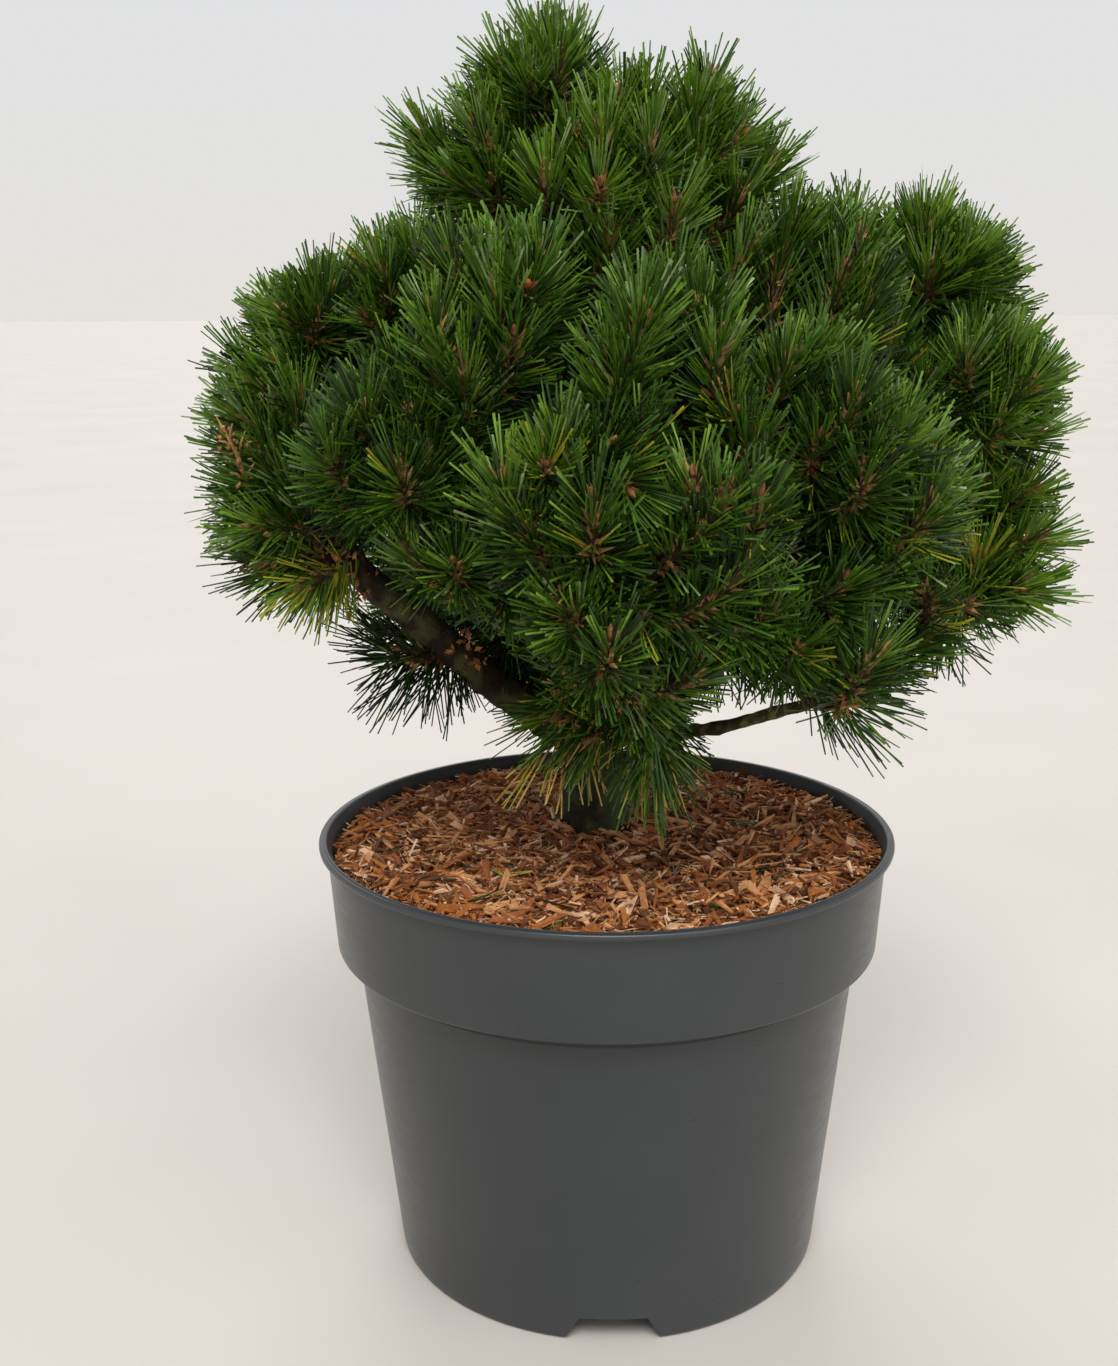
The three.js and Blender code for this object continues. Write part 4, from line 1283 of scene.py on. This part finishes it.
BARE = {"mass_hanging_left", "mass_foot_tuft", "mass_hanging_right"}
pts_o, nrm_o, own_o = outer_points(12000)
order = rng.permutation(len(pts_o))
SPACING = 0.0160
taken = np.array([q.bud for q in shoots])
for i in order:
    p, n = pts_o[i], nrm_o[i]
    if own_o[i] in BARE or (p[2] < 0.276 and p[1] < 0.01):
        continue
    out = outward(p)
    low = np.clip((0.33 - p[2]) / 0.08, 0, 1)
    under = n[2] < -0.35
    if under:
        d = unit(0.75 * out + 0.25 * n + 0.10 * UP + rng.normal(0, 0.16, 3))
    else:
        d = unit(0.52 * n + 0.32 * out + (0.72 - 0.40 * low) * UP + rng.normal(0, 0.19, 3))
    # the tips of the needles end at the crown's surface
    bud = p - n * (0.011 + 0.006 * max(0.0, float(n @ d)) + rng.uniform(-0.002, 0.003))
    bud = drawn_in(bud, d, n)
    # the foot of a shoot stays within its mass
    for _ in range(3):
        if outside(bud - d * 0.040) < 0.0:
            break
        d = unit(d + 0.45 * n + 0.15 * out)
        bud = drawn_in(bud, d, n)
    if np.linalg.norm(taken - bud, axis=1).min() < SPACING * rng.uniform(0.92, 1.12):
        continue
    if (under and rng.uniform() < 0.5) or hides_bough(bud) or past_outline(bud):
        continue
    h = (p[2] - 0.25) / 0.3
    light = openness(p, n)
    if light < 0.55:
        bud = bud - n * min(0.016, 0.05 * (0.55 - light))
        if np.linalg.norm(taken - bud, axis=1).min() < 0.74 * SPACING:
            continue
    patch = 0.5 + 1.4 * (noise(np.array([p * 17.0]), 77)[0] - 0.5)
    # needle greens by place: dark where the crown is closed, low or faces down, bright where it is high and open:
    # painted shade and painted light
    r = rng.uniform()
    kind = "m"
    if under or p[2] < 0.285 or light < 0.45:
        kind = "d"
    elif r < (0.20 + 0.45 * h + 0.9 * (light - 0.6)) * (0.4 + 1.2 * patch):
        kind = "b"
    elif r > 0.90 and light < 0.6:
        kind = "d"
    elif r > 0.975:
        kind = "y"
    # sunlit shoulders
    if kind == "m" and (p[2] > 0.45 or (abs(p[0]) > 0.10 and p[2] > 0.385)) and rng.uniform() < 0.6:
        kind = "b"
    shoots.append(Shoot(bud, d, kind))
    taken = np.concatenate([taken, bud[None]])
outer_count = len(shoots)

# a sparser layer behind the outer one, in deep and dark greens: painted shade of the crown's inside
order = rng.permutation(len(pts_o))
deep = np.zeros((0, 3))
for i in order:
    p, n = pts_o[i], nrm_o[i]
    if own_o[i] in BARE or p[2] < 0.30:
        continue
    bud = p - n * rng.uniform(0.036, 0.050)
    if len(deep) and np.linalg.norm(deep - bud, axis=1).min() < 0.031:
        continue
    if np.linalg.norm(taken - bud, axis=1).min() < 0.0175 or outside(bud) > -0.022:
        continue
    d = unit(0.5 * n + 0.25 * outward(p) + 0.55 * UP + rng.normal(0, 0.2, 3))
    shoots.append(Shoot(bud, d, "i", inner=True))
    deep = np.concatenate([deep, bud[None]])

# ---- twigs that carry the shoots -----------------------------------------

P = np.array([q.bud for q in shoots])
D = np.array([q.d for q in shoots])
stem_len = rng.uniform(0.038, 0.048, len(shoots))
# a shoot grows away from the limb next to it and turns up towards its bud
limb_pts = np.array(node_pos) * MM
near = np.array([limb_pts[np.argmin(np.linalg.norm(limb_pts - p, axis=1))] for p in P])
away = unit(P - near)
root_pt = P - unit(0.75 * D + 0.65 * away) * np.minimum(stem_len, 0.85 * np.linalg.norm(P - near, axis=1))[:, None]
for i, q in enumerate(shoots):
    if q.foot is not None:
        root_pt[i] = q.foot

tree_p = [p * MM for p in node_pos]
tree_parent = list(node_parent)
tree_r_fixed = list(node_fixed)
main_n = len(tree_p)
dist0 = np.array([min(np.linalg.norm(q - m) for m in tree_p) for q in root_pt])
paths = []  # (list of node indices from parent to foot, shoot index)
arr = np.array(tree_p)
for i in np.argsort(dist0):
    q, d = root_pt[i], D[i]
    delta = q - arr
    dist = np.linalg.norm(delta, axis=1)
    cosv = (delta @ d) / np.maximum(dist, 1e-9)
    up = delta[:, 2] / np.maximum(dist, 1e-9)
    cost = dist * (1 + 0.55 * (1 - cosv) + 0.25 * np.clip(-up, 0, 1)) + 0.004 * (dist < 0.004)
    if shoots[i].foot is not None and q[0] > 0.125:
        cost = cost + 0.2 * (arr[:, 2] < q[2] + 0.004)
    j = int(np.argmin(cost))
    gap = dist[j]
    a = arr[j]
    par = tree_parent[j]
    flow = unit(a - arr[par]) if par >= 0 else unit(q - a)
    p1 = a + 0.33 * gap * unit(0.55 * flow + 0.9 * unit(q - a))
    p2 = q - 0.33 * gap * d
    m = max(2, int(math.ceil(gap / 0.011)))
    prev = j
    chain = [j]
    new = []
    for s in np.arange(1, m + 1) / m:
        pt = (1 - s) ** 3 * a + 3 * s * (1 - s) ** 2 * p1 + 3 * s * s * (1 - s) * p2 + s ** 3 * q
        if s < 1:
            pt = pt + rng.normal(0, 0.0011, 3)
        tree_p.append(pt)
        tree_parent.append(prev)
        tree_r_fixed.append(None)
        prev = len(tree_p) - 1
        chain.append(prev)
        new.append(pt)
    arr = np.concatenate([arr, np.array(new)])
    paths.append((chain, i))

# thickness: each limb carries the sum of what it bears
n_tree = len(tree_p)
load = np.zeros(n_tree)
for chain, i in paths:
    load[chain[-1]] += 1.85 ** 2.25
for k in range(n_tree - 1, main_n - 1, -1):
    par = tree_parent[k]
    if par >= main_n:
        load[par] += load[k]
tree_r = np.empty(n_tree)
for k in range(n_tree):
    if tree_r_fixed[k] is not None:
        tree_r[k] = tree_r_fixed[k]
    else:
        tree_r[k] = load[k] ** (1 / 2.25)
tree_r *= MM

twig_heap = Heap()
for chain, i in paths:
    pts_c = np.array([tree_p[k] for k in chain])
    r = np.array([tree_r[k] for k in chain])
    r[0] = min(r[0], r[1] * 1.05)
    r = r * rng.uniform(0.92, 1.08, len(r))
    if len(pts_c) < 3:
        mid = pts_c.mean(0)
        pts_c = np.array([pts_c[0], mid, pts_c[1]])
        r = np.array([r[0], r.mean(), r[1]])
    v, t = tube(pts_c, r, 7 if r[0] > 0.003 else 5)
    twig_heap.add(v, t)


def rust_spray(heap, centre, spread, count, size, rng):
    """Loose papery bud scales that cling round a twig."""
    p = centre + rng.normal(0, 1, (count, 3)) * spread
    d = unit(rng.normal(0, 1, (count, 3)) + 0.4 * UP)
    u, w = side_vectors(d, rng)
    L = size * rng.uniform(0.6, 1.3, (count, 1))
    W = L * 0.30
    th = L * 0.12
    verts = np.stack(
        [p, p + d * L * 0.5 + u * W, p + d * L * 0.5 - u * W, p + d * L * 0.5 + w * th * 2.2, p + d * L + w * th * 0.5], 1
    )
    face = np.array([[0, 1, 3], [0, 3, 2], [1, 4, 3], [3, 4, 2], [0, 2, 1], [1, 2, 4]])
    tris = (face[None] + (np.arange(count) * 5)[:, None, None]).reshape(-1, 3)
    heap.add(verts.reshape(-1, 3), tris)


# ---- shoots: stem, bud and needles ---------------------------------------

stem_heap, bud_heap, orange_heap, husk_heap, sheath_heap = Heap(), Heap(), Heap(), Heap(), Heap()
NEEDLE_WIDTH = 0.98 * MM
needles = {k: [] for k in NEEDLE_SHADES}  # arrays of base, dir, length, bend, width

MIX = {
    # chance of each shade at the foot and at the tip of a shoot
    "b": (("mid", 0.32, 0.20), ("bright", 0.16, 0.60), ("deep", 0.32, 0.06), ("bluish", 0.06, 0.14), ("dark", 0.14, 0.00)),
    "m": (("mid", 0.32, 0.50), ("bright", 0.04, 0.22), ("deep", 0.38, 0.16), ("bluish", 0.05, 0.12), ("dark", 0.21, 0.00)),
    "d": (("mid", 0.28, 0.43), ("bright", 0.02, 0.06), ("deep", 0.40, 0.37), ("yellow", 0.02, 0.02), ("dark", 0.28, 0.12)),
    "i": (("mid", 0.08, 0.16), ("bright", 0.0, 0.02), ("deep", 0.44, 0.50), ("yellow", 0.04, 0.02), ("dark", 0.44, 0.30)),
    "s": (("mid", 0.02, 0.06), ("deep", 0.34, 0.40), ("bright", 0.0, 0.0), ("bluish", 0.02, 0.02), ("dark", 0.62, 0.52)),
    "y": (("mid", 0.30, 0.26), ("yellow", 0.34, 0.44), ("deep", 0.28, 0.12), ("ochre", 0.08, 0.04), ("bright", 0.0, 0.14)),
    "o": (("mid", 0.34, 0.44), ("bright", 0.04, 0.20), ("deep", 0.34, 0.16), ("ochre", 0.16, 0.10), ("yellow", 0.12, 0.10)),
    "f": (("mid", 0.36, 0.40), ("bright", 0.02, 0.06), ("deep", 0.46, 0.36), ("ochre", 0.05, 0.05), ("yellow", 0.08, 0.09), ("dark", 0.10, 0.06)),
    "v": (("yellow", 0.50, 0.50), ("bright", 0.20, 0.20), ("mid", 0.30, 0.30)),
    "t": (("ochre", 0.55, 0.55), ("yellow", 0.30, 0.30), ("mid", 0.15, 0.15)),
    "h": (("mid", 0.30, 0.40), ("bright", 0.0, 0.02), ("deep", 0.56, 0.48), ("bluish", 0.06, 0.06), ("dark", 0.08, 0.04)),
}


def shoot_axis(foot, bud, d, s):
    """Points of a shoot's gently curved axis at s (n,), from its foot to its bud."""
    L = np.linalg.norm(bud - foot)
    p1 = bud - d * L * 0.5
    s = np.asarray(s)[:, None]
    pts = (1 - s) ** 2 * foot + 2 * s * (1 - s) * p1 + s * s * bud
    tan = unit(2 * (1 - s) * (p1 - foot) + 2 * s * (bud - p1))
    return pts, tan


GOLDEN = math.pi * (3 - math.sqrt(5))


def add_needles(foot, bud, d, kind, count, length, a_low, a_high, s0, s1, sheaths, rng, bars=0.5, stand=0.0035):
    k = np.arange(count)
    s = s0 + (s1 - s0) * ((k + 0.5) / count)
    pts, tan = shoot_axis(foot, bud, d, s)
    u, w = side_vectors(tan)
    pair = k // 2
    phi = pair * GOLDEN + (k % 2) * 0.24 + np.repeat(rng.normal(0, 0.2, count // 2 + 1), 2)[:count]
    rel = (s - s0) / max(s1 - s0, 1e-6)
    ang = a_low + (a_high - a_low) * rel ** 1.1
    ang = ang + np.repeat(rng.normal(0, 6.0, count // 2 + 1), 2)[:count] + rng.normal(0, 3.0, count)
    ang = np.radians(ang)
    radial = u * np.cos(phi)[:, None] + w * np.sin(phi)[:, None]
    nd = unit(tan * np.cos(ang)[:, None] + radial * np.sin(ang)[:, None])
    L = length * (1.04 - 0.14 * rel) * rng.uniform(0.86, 1.10, count)
    # needles arch a little, mostly towards the light
    bend = (0.10 * tan + 0.06 * UP + rng.normal(0, 0.03, (count, 3))) * L[:, None]
    sheathed = np.repeat(rng.uniform(0, 1, count // 2 + 1), 2)[:count] < sheaths * (1.15 - 0.30 * rel)
    base = pts + radial * 0.0014 + nd * (sheathed * stand)[:, None]
    width = NEEDLE_WIDTH * rng.uniform(0.84, 1.12, count)
    pick = rng.uniform(0, 1, count)
    form = np.where((pick < bars) & (rel > 0.35), np.where(pick < 0.25 * bars, 2, 1), 0)
    names = [m[0] for m in MIX[kind]]
    lo = np.array([m[1] for m in MIX[kind]])
    hi = np.array([m[2] for m in MIX[kind]])
    # none hangs over the bough that shows
    clear = ~(before_bough(base + nd * L[:, None], 0.0085) | before_bough(base + nd * (0.6 * L)[:, None], 0.0075) | before_bough(base, 0.007))
    pr = lo[None] + (hi - lo)[None] * rel[:, None]
    cum = np.cumsum(pr, 1) / pr.sum(1, keepdims=True)
    # a pair of needles has one colour
    draw = np.repeat(rng.uniform(0, 1, count // 2 + 1), 2)[:count]
    c = (draw[:, None] > cum).sum(1).clip(0, len(names) - 1)
    for q, nm in enumerate(names):
        m = (c == q) & clear
        if m.any():
            needles[nm].append((base[m], nd[m], L[m], bend[m], width[m], form[m]))
    # brown sheaths that hold the pairs
    m = (k % 2 == 0) & sheathed & clear
    n = int(m.sum())
    if n:
        c0, dd = pts[m] + radial[m] * 0.0007, unit(nd[m] + 0.15 * tan[m])
        a, b = side_vectors(dd, rng)
        size = rng.uniform(0.0012, 0.0018, (n, 1))
        tall = rng.uniform(0.0070, 0.0105, (n, 1))
        verts = np.stack(
            [c0 + a * size, c0 + (-0.5 * a + 0.87 * b) * size, c0 + (-0.5 * a - 0.87 * b) * size, c0 + dd * tall], 1
        )
        face = np.array([[0, 1, 3], [1, 2, 3], [2, 0, 3], [0, 2, 1]])
        sheath_heap.add(verts.reshape(-1, 3), (face[None] + (np.arange(n) * 4)[:, None, None]).reshape(-1, 3))


# older needles along the twigs behind the shoots
for chain, i in paths:
    if shoots[i].foot is not None:
        continue
    line = [tree_p[k] for k in chain]
    for a, b in list(zip(line[:-1], line[1:]))[-4:]:
        gap = np.linalg.norm(b - a)
        if gap < 0.003 or b[2] < 0.30 or outside(b) > 0.002 or hides_bough(b):
            continue
        add_needles(a, b, unit(b - a), "i", int(1 + gap * 900), 0.023, 72, 58, 0.02, 0.98, 0.0, rng, 0.0)

# a few buds are swollen and orange
ORANGE_BUDS = [(-32, -128, 442), (101, -92, 371), (76, -100, 347), (18, -98, 287)]
orange_shoots = {int(np.argmin(np.linalg.norm(P - np.array(b) * MM, axis=1))) for b in ORANGE_BUDS}

for i, q in enumerate(shoots):
    bud, d, kind, foot = q.bud, q.d, q.kind, root_pt[i]
    if q.count:
        low_a, high_a = q.spread
        add_needles(foot, bud, d, kind, q.count, q.length, low_a, high_a, 0.10, 0.98, 0.6, rng, 0.9)
    elif q.inner:
        add_needles(foot, bud, d, kind, int(rng.uniform(90, 110)), rng.uniform(0.022, 0.026), 74, 34, 0.10, 1.0, 0.0, rng, 0.0)
    else:
        L = rng.uniform(0.0165, 0.0210) * (1.06 if kind == "d" else 1.0)
        n_main = int(rng.uniform(160, 184) * (0.86 if kind == "d" else 1.0))
        # the middle of the crown gets darker needle greens as painted shade, its top and its right edge lighter ones as
        # painted light
        shade = kind
        if bud[1] < 0.0 and abs(bud[0]) < 0.125 and bud[2] < 0.455 and i % 5:
            shade = {"b": "m", "m": "d"}.get(kind, kind)
        elif bud[2] > 0.49 or (bud[0] > 0.13 and bud[2] > 0.30):
            shade = {"d": "m", "m": "b"}.get(kind, kind)
        add_needles(foot, bud, d, shade, n_main, L, rng.uniform(54, 66), rng.uniform(20, 32), 0.10, 0.97, 0.56, rng, 0.33, 0.0048)
        old_kind = {"b": "m", "m": "d", "d": "d", "y": "y", "o": "o"}[kind]
        add_needles(foot, bud, d, old_kind, int(rng.uniform(8, 14)), L, 80, 56, 0.0, 0.16, 0.7, rng, 0.2)
    s = np.linspace(0, 1, 5)
    pts_c, _ = shoot_axis(foot, bud, d, s)
    r = np.interp(s, [0, 0.3, 0.85, 1], [2.2, 2.7, 2.4, 1.6]) * MM
    r = r * rng.uniform(0.86, 1.18, len(r))
    v, t = tube(pts_c, r, 5)
    stem_heap.add(v, t)
    if q.inner:
        continue
    # the bud: a small pointed egg
    orange = i in orange_shoots
    bl = rng.uniform(0.0045, 0.0075) * (1.35 if orange else 1.0)
    bs = np.array([0.0, 0.3, 0.7, 1.0])
    br = np.array([1.2, 1.50, 1.00, 0.15]) * rng.uniform(0.85, 1.25) * (1.2 if orange else 1.0) * MM
    v, t = tube(bud[None] + d[None] * (bs[:, None] * bl), br, 5)
    (orange_heap if orange else bud_heap).add(v, t)
    if rng.uniform() < (0.6 if kind in "dsofh" else 0.42):
        c, _ = shoot_axis(foot, bud, d, [rng.uniform(0.1, 0.5)])
        rust_spray(husk_heap, c[0], 0.0030, int(rng.uniform(8, 18)), 0.0042, rng)


def along(line, t):
    """Points at t (0..1, by vertex number) of a broken line."""
    line = np.array(line, float) * MM
    x = np.linspace(0, 1, len(line))
    return np.stack([np.interp(t, x, line[:, a]) for a in range(3)], 1)


for feet, tips, kind, count in FANS:
    t = np.clip((np.arange(count) + rng.uniform(0, 1, count)) / count, 0, 1)
    a = along(feet, np.clip(t + rng.normal(0, 0.10, count), 0, 1)) + rng.normal(0, 0.0012, (count, 3))
    b = along(tips, t) + rng.normal(0, 0.0022, (count, 3))
    way = b - a
    L = np.linalg.norm(way, axis=1) * np.where(rng.uniform(0, 1, count) < 0.55, rng.uniform(0.93, 1.03, count), rng.uniform(0.62, 0.95, count))
    way = unit(way)
    sag = (rng.normal(0, 0.03, (count, 3)) + 0.02 * UP) * L[:, None]
    names = [m[0] for m in MIX[kind]]
    share = np.array([m[1] + m[2] for m in MIX[kind]])
    c = rng.choice(len(names), count, p=share / share.sum())
    width = NEEDLE_WIDTH * rng.uniform(0.86, 1.10, count)
    for q, nm in enumerate(names):
        m = c == q
        if m.any():
            form = np.where(rng.uniform(0, 1, m.sum()) < 0.3, 2, 1)
            needles[nm].append((a[m], unit(way[m] - 0.8 * sag[m] / L[m][:, None]), L[m], sag[m], width[m], form))
    if a.std(0).max() < 0.008:
        near_twig = tree_p[int(np.argmin(np.linalg.norm(tree_p - a.mean(0), axis=1)))]
        rust_spray(sheath_heap, near_twig, 0.0020, max(8, count // 5), 0.0044, rng)


# fallen needles on the mulch: mostly old, in pairs
fall = [(-62, -52), (-50, -58), (-38, -50), (38, -60), (52, -46), (60, -72), (20, -66), (-20, -84), (84, -20), (72, 8), (-84, -8), (-70, 22), (4, 84),
        (-40, 74), (52, 66), (-96, 30), (30, -92), (-58, -80), (92, 30), (-8, -100)]
for j, (x, y) in enumerate(fall):
    for _ in range(int(rng.uniform(1, 3))):
        fx, fy = x + rng.normal(0, 5), y + rng.normal(0, 5)
        z = float(mulch_height(np.array([fx]), np.array([fy]))[0]) + rng.uniform(2.2, 3.6)
        a = rng.uniform(0, 2 * np.pi)
        nm = ("deep", "mid", "ochre", "dark", "yellow")[int(rng.choice(5, p=[0.30, 0.06, 0.30, 0.28, 0.06]))]
        base = np.repeat(np.array([[fx, fy, z]]) * MM, 2, 0)
        way = unit(np.array([[math.cos(a + e), math.sin(a + e), rng.uniform(-0.04, 0.06)] for e in (0.0, 0.16)]))
        needles[nm].append((base, way, np.full(2, rng.uniform(0.016, 0.026)), rng.normal(0, 0.0006, (2, 3)), np.full(2, NEEDLE_WIDTH * 0.80), np.full(2, 2)))


def needle_mesh(name, parts):
    """Needles as wedges of four faces and as three-sided bars with a blunt end; some bars are bent in the middle."""
    base, d, L, bend, width, form = (np.concatenate([p[q] for p in parts]) for q in range(6))
    n = len(base)
    rng = np.random.default_rng(3)
    u, w = side_vectors(d, rng)
    ring = np.arange(3) * 2 * np.pi / 3
    # a wedge turns the edge at its tip across the way out of the crown, so that it shows
    out_way = unit(unit(base - np.array([-0.01, 0.005, 0.30])) + rng.normal(0, 0.35, (n, 3)))
    m = form == 0
    tip_side = unit(np.cross(d[m], out_way[m])) * (0.50 * width[m])[:, None]
    foot_side = unit(np.cross(d[m], tip_side)) * (0.55 * width[m])[:, None]
    v, t = wedges(base[m], base[m] + d[m] * L[m][:, None] + bend[m], foot_side, tip_side)
    out = [(v, t, 4, 4)] if m.any() else []
    for flag, stations in (
        (1, ((0.0, 0.46, 0.0), (1.0, 0.36, 1.0))),
        (2, ((0.0, 0.44, -0.35), (0.52, 0.50, 0.15), (1.0, 0.32, 1.8))),
    ):
        m = form == flag
        if not m.any():
            continue
        k = int(m.sum())
        rows = len(stations)
        verts = np.empty((k, 3 * rows, 3))
        for q, (f, size, b) in enumerate(stations):
            c = base[m] + d[m] * (L[m] * f)[:, None] + bend[m] * max(b, 0.0)
            for j, a in enumerate(ring):
                verts[:, 3 * q + j] = c + (u[m] * math.cos(a) + w[m] * math.sin(a)) * (width[m] * size)[:, None]
        face = [[0, 2, 1], [3 * rows - 3, 3 * rows - 2, 3 * rows - 1]]
        for q in range(rows - 1):
            for a in range(3):
                b = (a + 1) % 3
                face += [[3 * q + a, 3 * q + b, 3 * q + 3 + b], [3 * q + a, 3 * q + 3 + b, 3 * q + 3 + a]]
        tris = (np.array(face)[None] + (np.arange(k) * 3 * rows)[:, None, None]).reshape(-1, 3)
        out.append((verts.reshape(-1, 3), tris, 3 * rows, len(face)))
    return out


foliage = []
total = 0
MOST = 190000
for k, parts in needles.items():
    if not parts:
        continue
    heap, number = Heap(), 1
    for v, t, per_v, per_t in needle_mesh(k, parts):
        total += len(t)
        start, count = 0, len(t) // per_t
        while start < count:
            room = (MOST - heap.count()) // per_t
            stop = min(count, start + room)
            heap.add(v[start * per_v : stop * per_v], t[start * per_t : stop * per_t] - start * per_v)
            start = stop
            if heap.count() > MOST - 20:
                foliage.append(heap.done("needles_%s_%d" % (k, number)))
                foliage[-1].data.materials.append(NEEDLE_MATS[k])
                heap, number = Heap(), number + 1
    if heap.n:
        foliage.append(heap.done("needles_%s_%d" % (k, number)))
        foliage[-1].data.materials.append(NEEDLE_MATS[k])

# ---- old scales on the lower boughs, the dead twig -----------------------

for c, spread, count in (
    ((-146, -53, 331), 5.5, 60), ((-125, -50, 331), 6.5, 80), ((-120, -44, 322), 5.0, 55), ((-112, -38, 316), 5.0, 50),
    ((-68, -20, 284), 3.2, 16), ((-61, -17, 278), 3.2, 18), ((-18, -60, 262), 4.0, 30),
    ((100, -62, 284), 3.0, 16),
):
    rust_spray(husk_heap, np.array(c) * MM, spread * MM, int(1.8 * count), 0.0045, rng)

dead_heap = Heap()
dead = np.array([(-149, -66, 361), (-150, -70, 368), (-152, -74, 377), (-155, -76, 384), (-159, -77, 392)]) * MM
v, t = tube(dead, np.array([1.2, 1.0, 0.85, 0.6, 0.3]) * MM, 7)
dead_heap.add(v, t)
for a, b in (
    ((-151, -71, 372), (-161, -77, 376)),
    ((-151, -73, 375), (-147, -79, 386)),
    ((-153, -74, 379), (-158, -79, 382)),
    ((-150, -69, 365), (-154, -77, 369)),
    ((-154, -75, 382), (-152, -79, 389)),
    ((-150, -67, 363), (-144, -76, 373)),
):
    a, b = np.array(a) * MM, np.array(b) * MM
    v, t = tube(np.array([a, (a + b) / 2 + [0, -0.001, 0.001], b]), np.array([0.7, 0.5, 0.28]) * MM, 5)
    dead_heap.add(v, t)
for q in (1, 2, 3):
    rust_spray(dead_heap, dead[q], 0.0022, 9, 0.0042, rng)

pieces = []
trunk_ob = mesh_object("trunk_bark", trunk_verts, trunk_tris, smooth=True)
trunk_ob.data.materials.append(MAT_TRUNK)
bough_ob = bough_heap.done("boughs_bark", smooth=True)
bough_ob.data.materials.append(MAT_BOUGH)
mossy_ob = mossy_heap.done("low_bough_bark", smooth=True)
mossy_ob.data.materials.append(MAT_MOSSY_PAINTED_LIGHT)
twig_ob = twig_heap.done("twigs", smooth=True)
twig_ob.data.materials.append(MAT_TWIG)
stem_ob = stem_heap.done("shoot_stems", smooth=True)
stem_ob.data.materials.append(MAT_TWIG)
bud_ob = bud_heap.done("buds", smooth=True)
bud_ob.data.materials.append(MAT_BUD)
orange_ob = orange_heap.done("buds_orange", smooth=True)
orange_ob.data.materials.append(MAT_BUD_ORANGE)
husk_ob = husk_heap.done("bud_scales")
husk_ob.data.materials.append(MAT_HUSK)
sheath_ob = sheath_heap.done("needle_sheaths")
sheath_ob.data.materials.append(MAT_SHEATH)
dead_ob = dead_heap.done("dead_twig", smooth=True)
dead_ob.data.materials.append(MAT_DEAD)
for ob in (trunk_ob, bough_ob, mossy_ob, twig_ob, stem_ob, bud_ob, orange_ob, husk_ob, sheath_ob, dead_ob):
    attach(ob, "root")
for ob in foliage:
    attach(ob, "root")
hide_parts("trunk")
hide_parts(*[n for n in BOUGHS if n != "bough_right_low"])
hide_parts("bough_right_low")
for ob in [twig_ob, stem_ob, *foliage]:
    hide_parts(*sorted(mass_objects))

# ---- stage ----------------------------------------------------------------

floor = mesh_object(
    "floor",
    np.array([[-30, -30, -0.0005], [30, -30, -0.0005], [30, 30, -0.0005], [-30, 30, -0.0005]]),
    np.array([[0, 1, 2], [0, 2, 3]]),
)
m = Nodes("floor_pale")
n = m.noise(3.0, 2.0)
m.colour(m.ramp(n, [(0.3, srgb(202, 196, 189)), (0.7, srgb(207, 201, 194))]))
m.rough(0.6)
floor.data.materials.append(m.mat)
floor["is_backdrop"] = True

world = bpy.data.worlds.new("studio")
scene.world = world
world.use_nodes = True
wt = world.node_tree
bg = wt.nodes["Background"]
way = wt.nodes.new("ShaderNodeTexCoord")
split = wt.nodes.new("ShaderNodeSeparateXYZ")
ramp = wt.nodes.new("ShaderNodeValToRGB")
wt.links.new(way.outputs["Generated"], split.inputs["Vector"])
wt.links.new(split.outputs["Z"], ramp.inputs["Fac"])
stops = ramp.color_ramp.elements
while len(stops) < 4:
    stops.new(0.5)
for e, (at, col) in zip(
    stops, ((0.0, srgb(229, 226, 221)), (0.05, srgb(227, 226, 224)), (0.22, srgb(225, 226, 229)), (0.62, srgb(170, 172, 176)))
):
    e.position, e.color = at, col
wt.links.new(ramp.outputs["Color"], bg.inputs["Color"])
bg.inputs["Strength"].default_value = 1.0


def area(name, loc, target, size, power, colour=(1, 1, 1)):
    li = bpy.data.lights.new(name, "AREA")
    li.shape, li.size, li.energy, li.color = "DISK", size, power, colour
    ob = bpy.data.objects.new(name, li)
    ob.location = loc
    ob.rotation_mode = "QUATERNION"
    ob.rotation_quaternion = (Vector(target) - Vector(loc)).to_track_quat("-Z", "Y")
    scene.collection.objects.link(ob)
    return ob


def sun(name, toward, strength, angle, colour):
    li = bpy.data.lights.new(name, "SUN")
    li.energy, li.angle, li.color = strength, math.radians(angle), colour
    ob = bpy.data.objects.new(name, li)
    ob.rotation_mode = "QUATERNION"
    ob.rotation_quaternion = Vector(toward).to_track_quat("-Z", "Y")
    scene.collection.objects.link(ob)
    return ob


sun("key", (0.02, 0.62, -0.78), 2.00, 26.0, (1.0, 0.985, 0.955))
sun("side", (-0.48, 0.42, -0.77), 0.55, 40.0, (1.0, 0.99, 0.97))
sun("back", (0.05, -0.70, -0.71), 0.90, 36.0, (1.0, 1.0, 0.97))
area("fill", (1.0, -1.5, 0.7), (0, 0, 0.25), 1.2, 3.2, (0.97, 0.98, 1.0))

cam_data = bpy.data.cameras.new("camera")
cam = bpy.data.objects.new("camera", cam_data)
scene.collection.objects.link(cam)
cam.location = (-0.0207, -0.7446, 0.4397)
cam.rotation_mode = "XYZ"
cam.rotation_euler = (math.radians(90 - 7.77), 0.0, 0.0)
cam_data.sensor_fit = "AUTO"
cam_data.sensor_width = 36.0
cam_data.lens = 43.59
cam_data.shift_y = -0.1193
cam_data.clip_start, cam_data.clip_end = 0.01, 50.0
roll = math.radians(-0.38)
cam.rotation_euler.rotate_axis("Z", roll)
scene.camera = cam
scene.view_settings.view_transform = "Standard"
scene.view_settings.look = "None"

low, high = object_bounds()
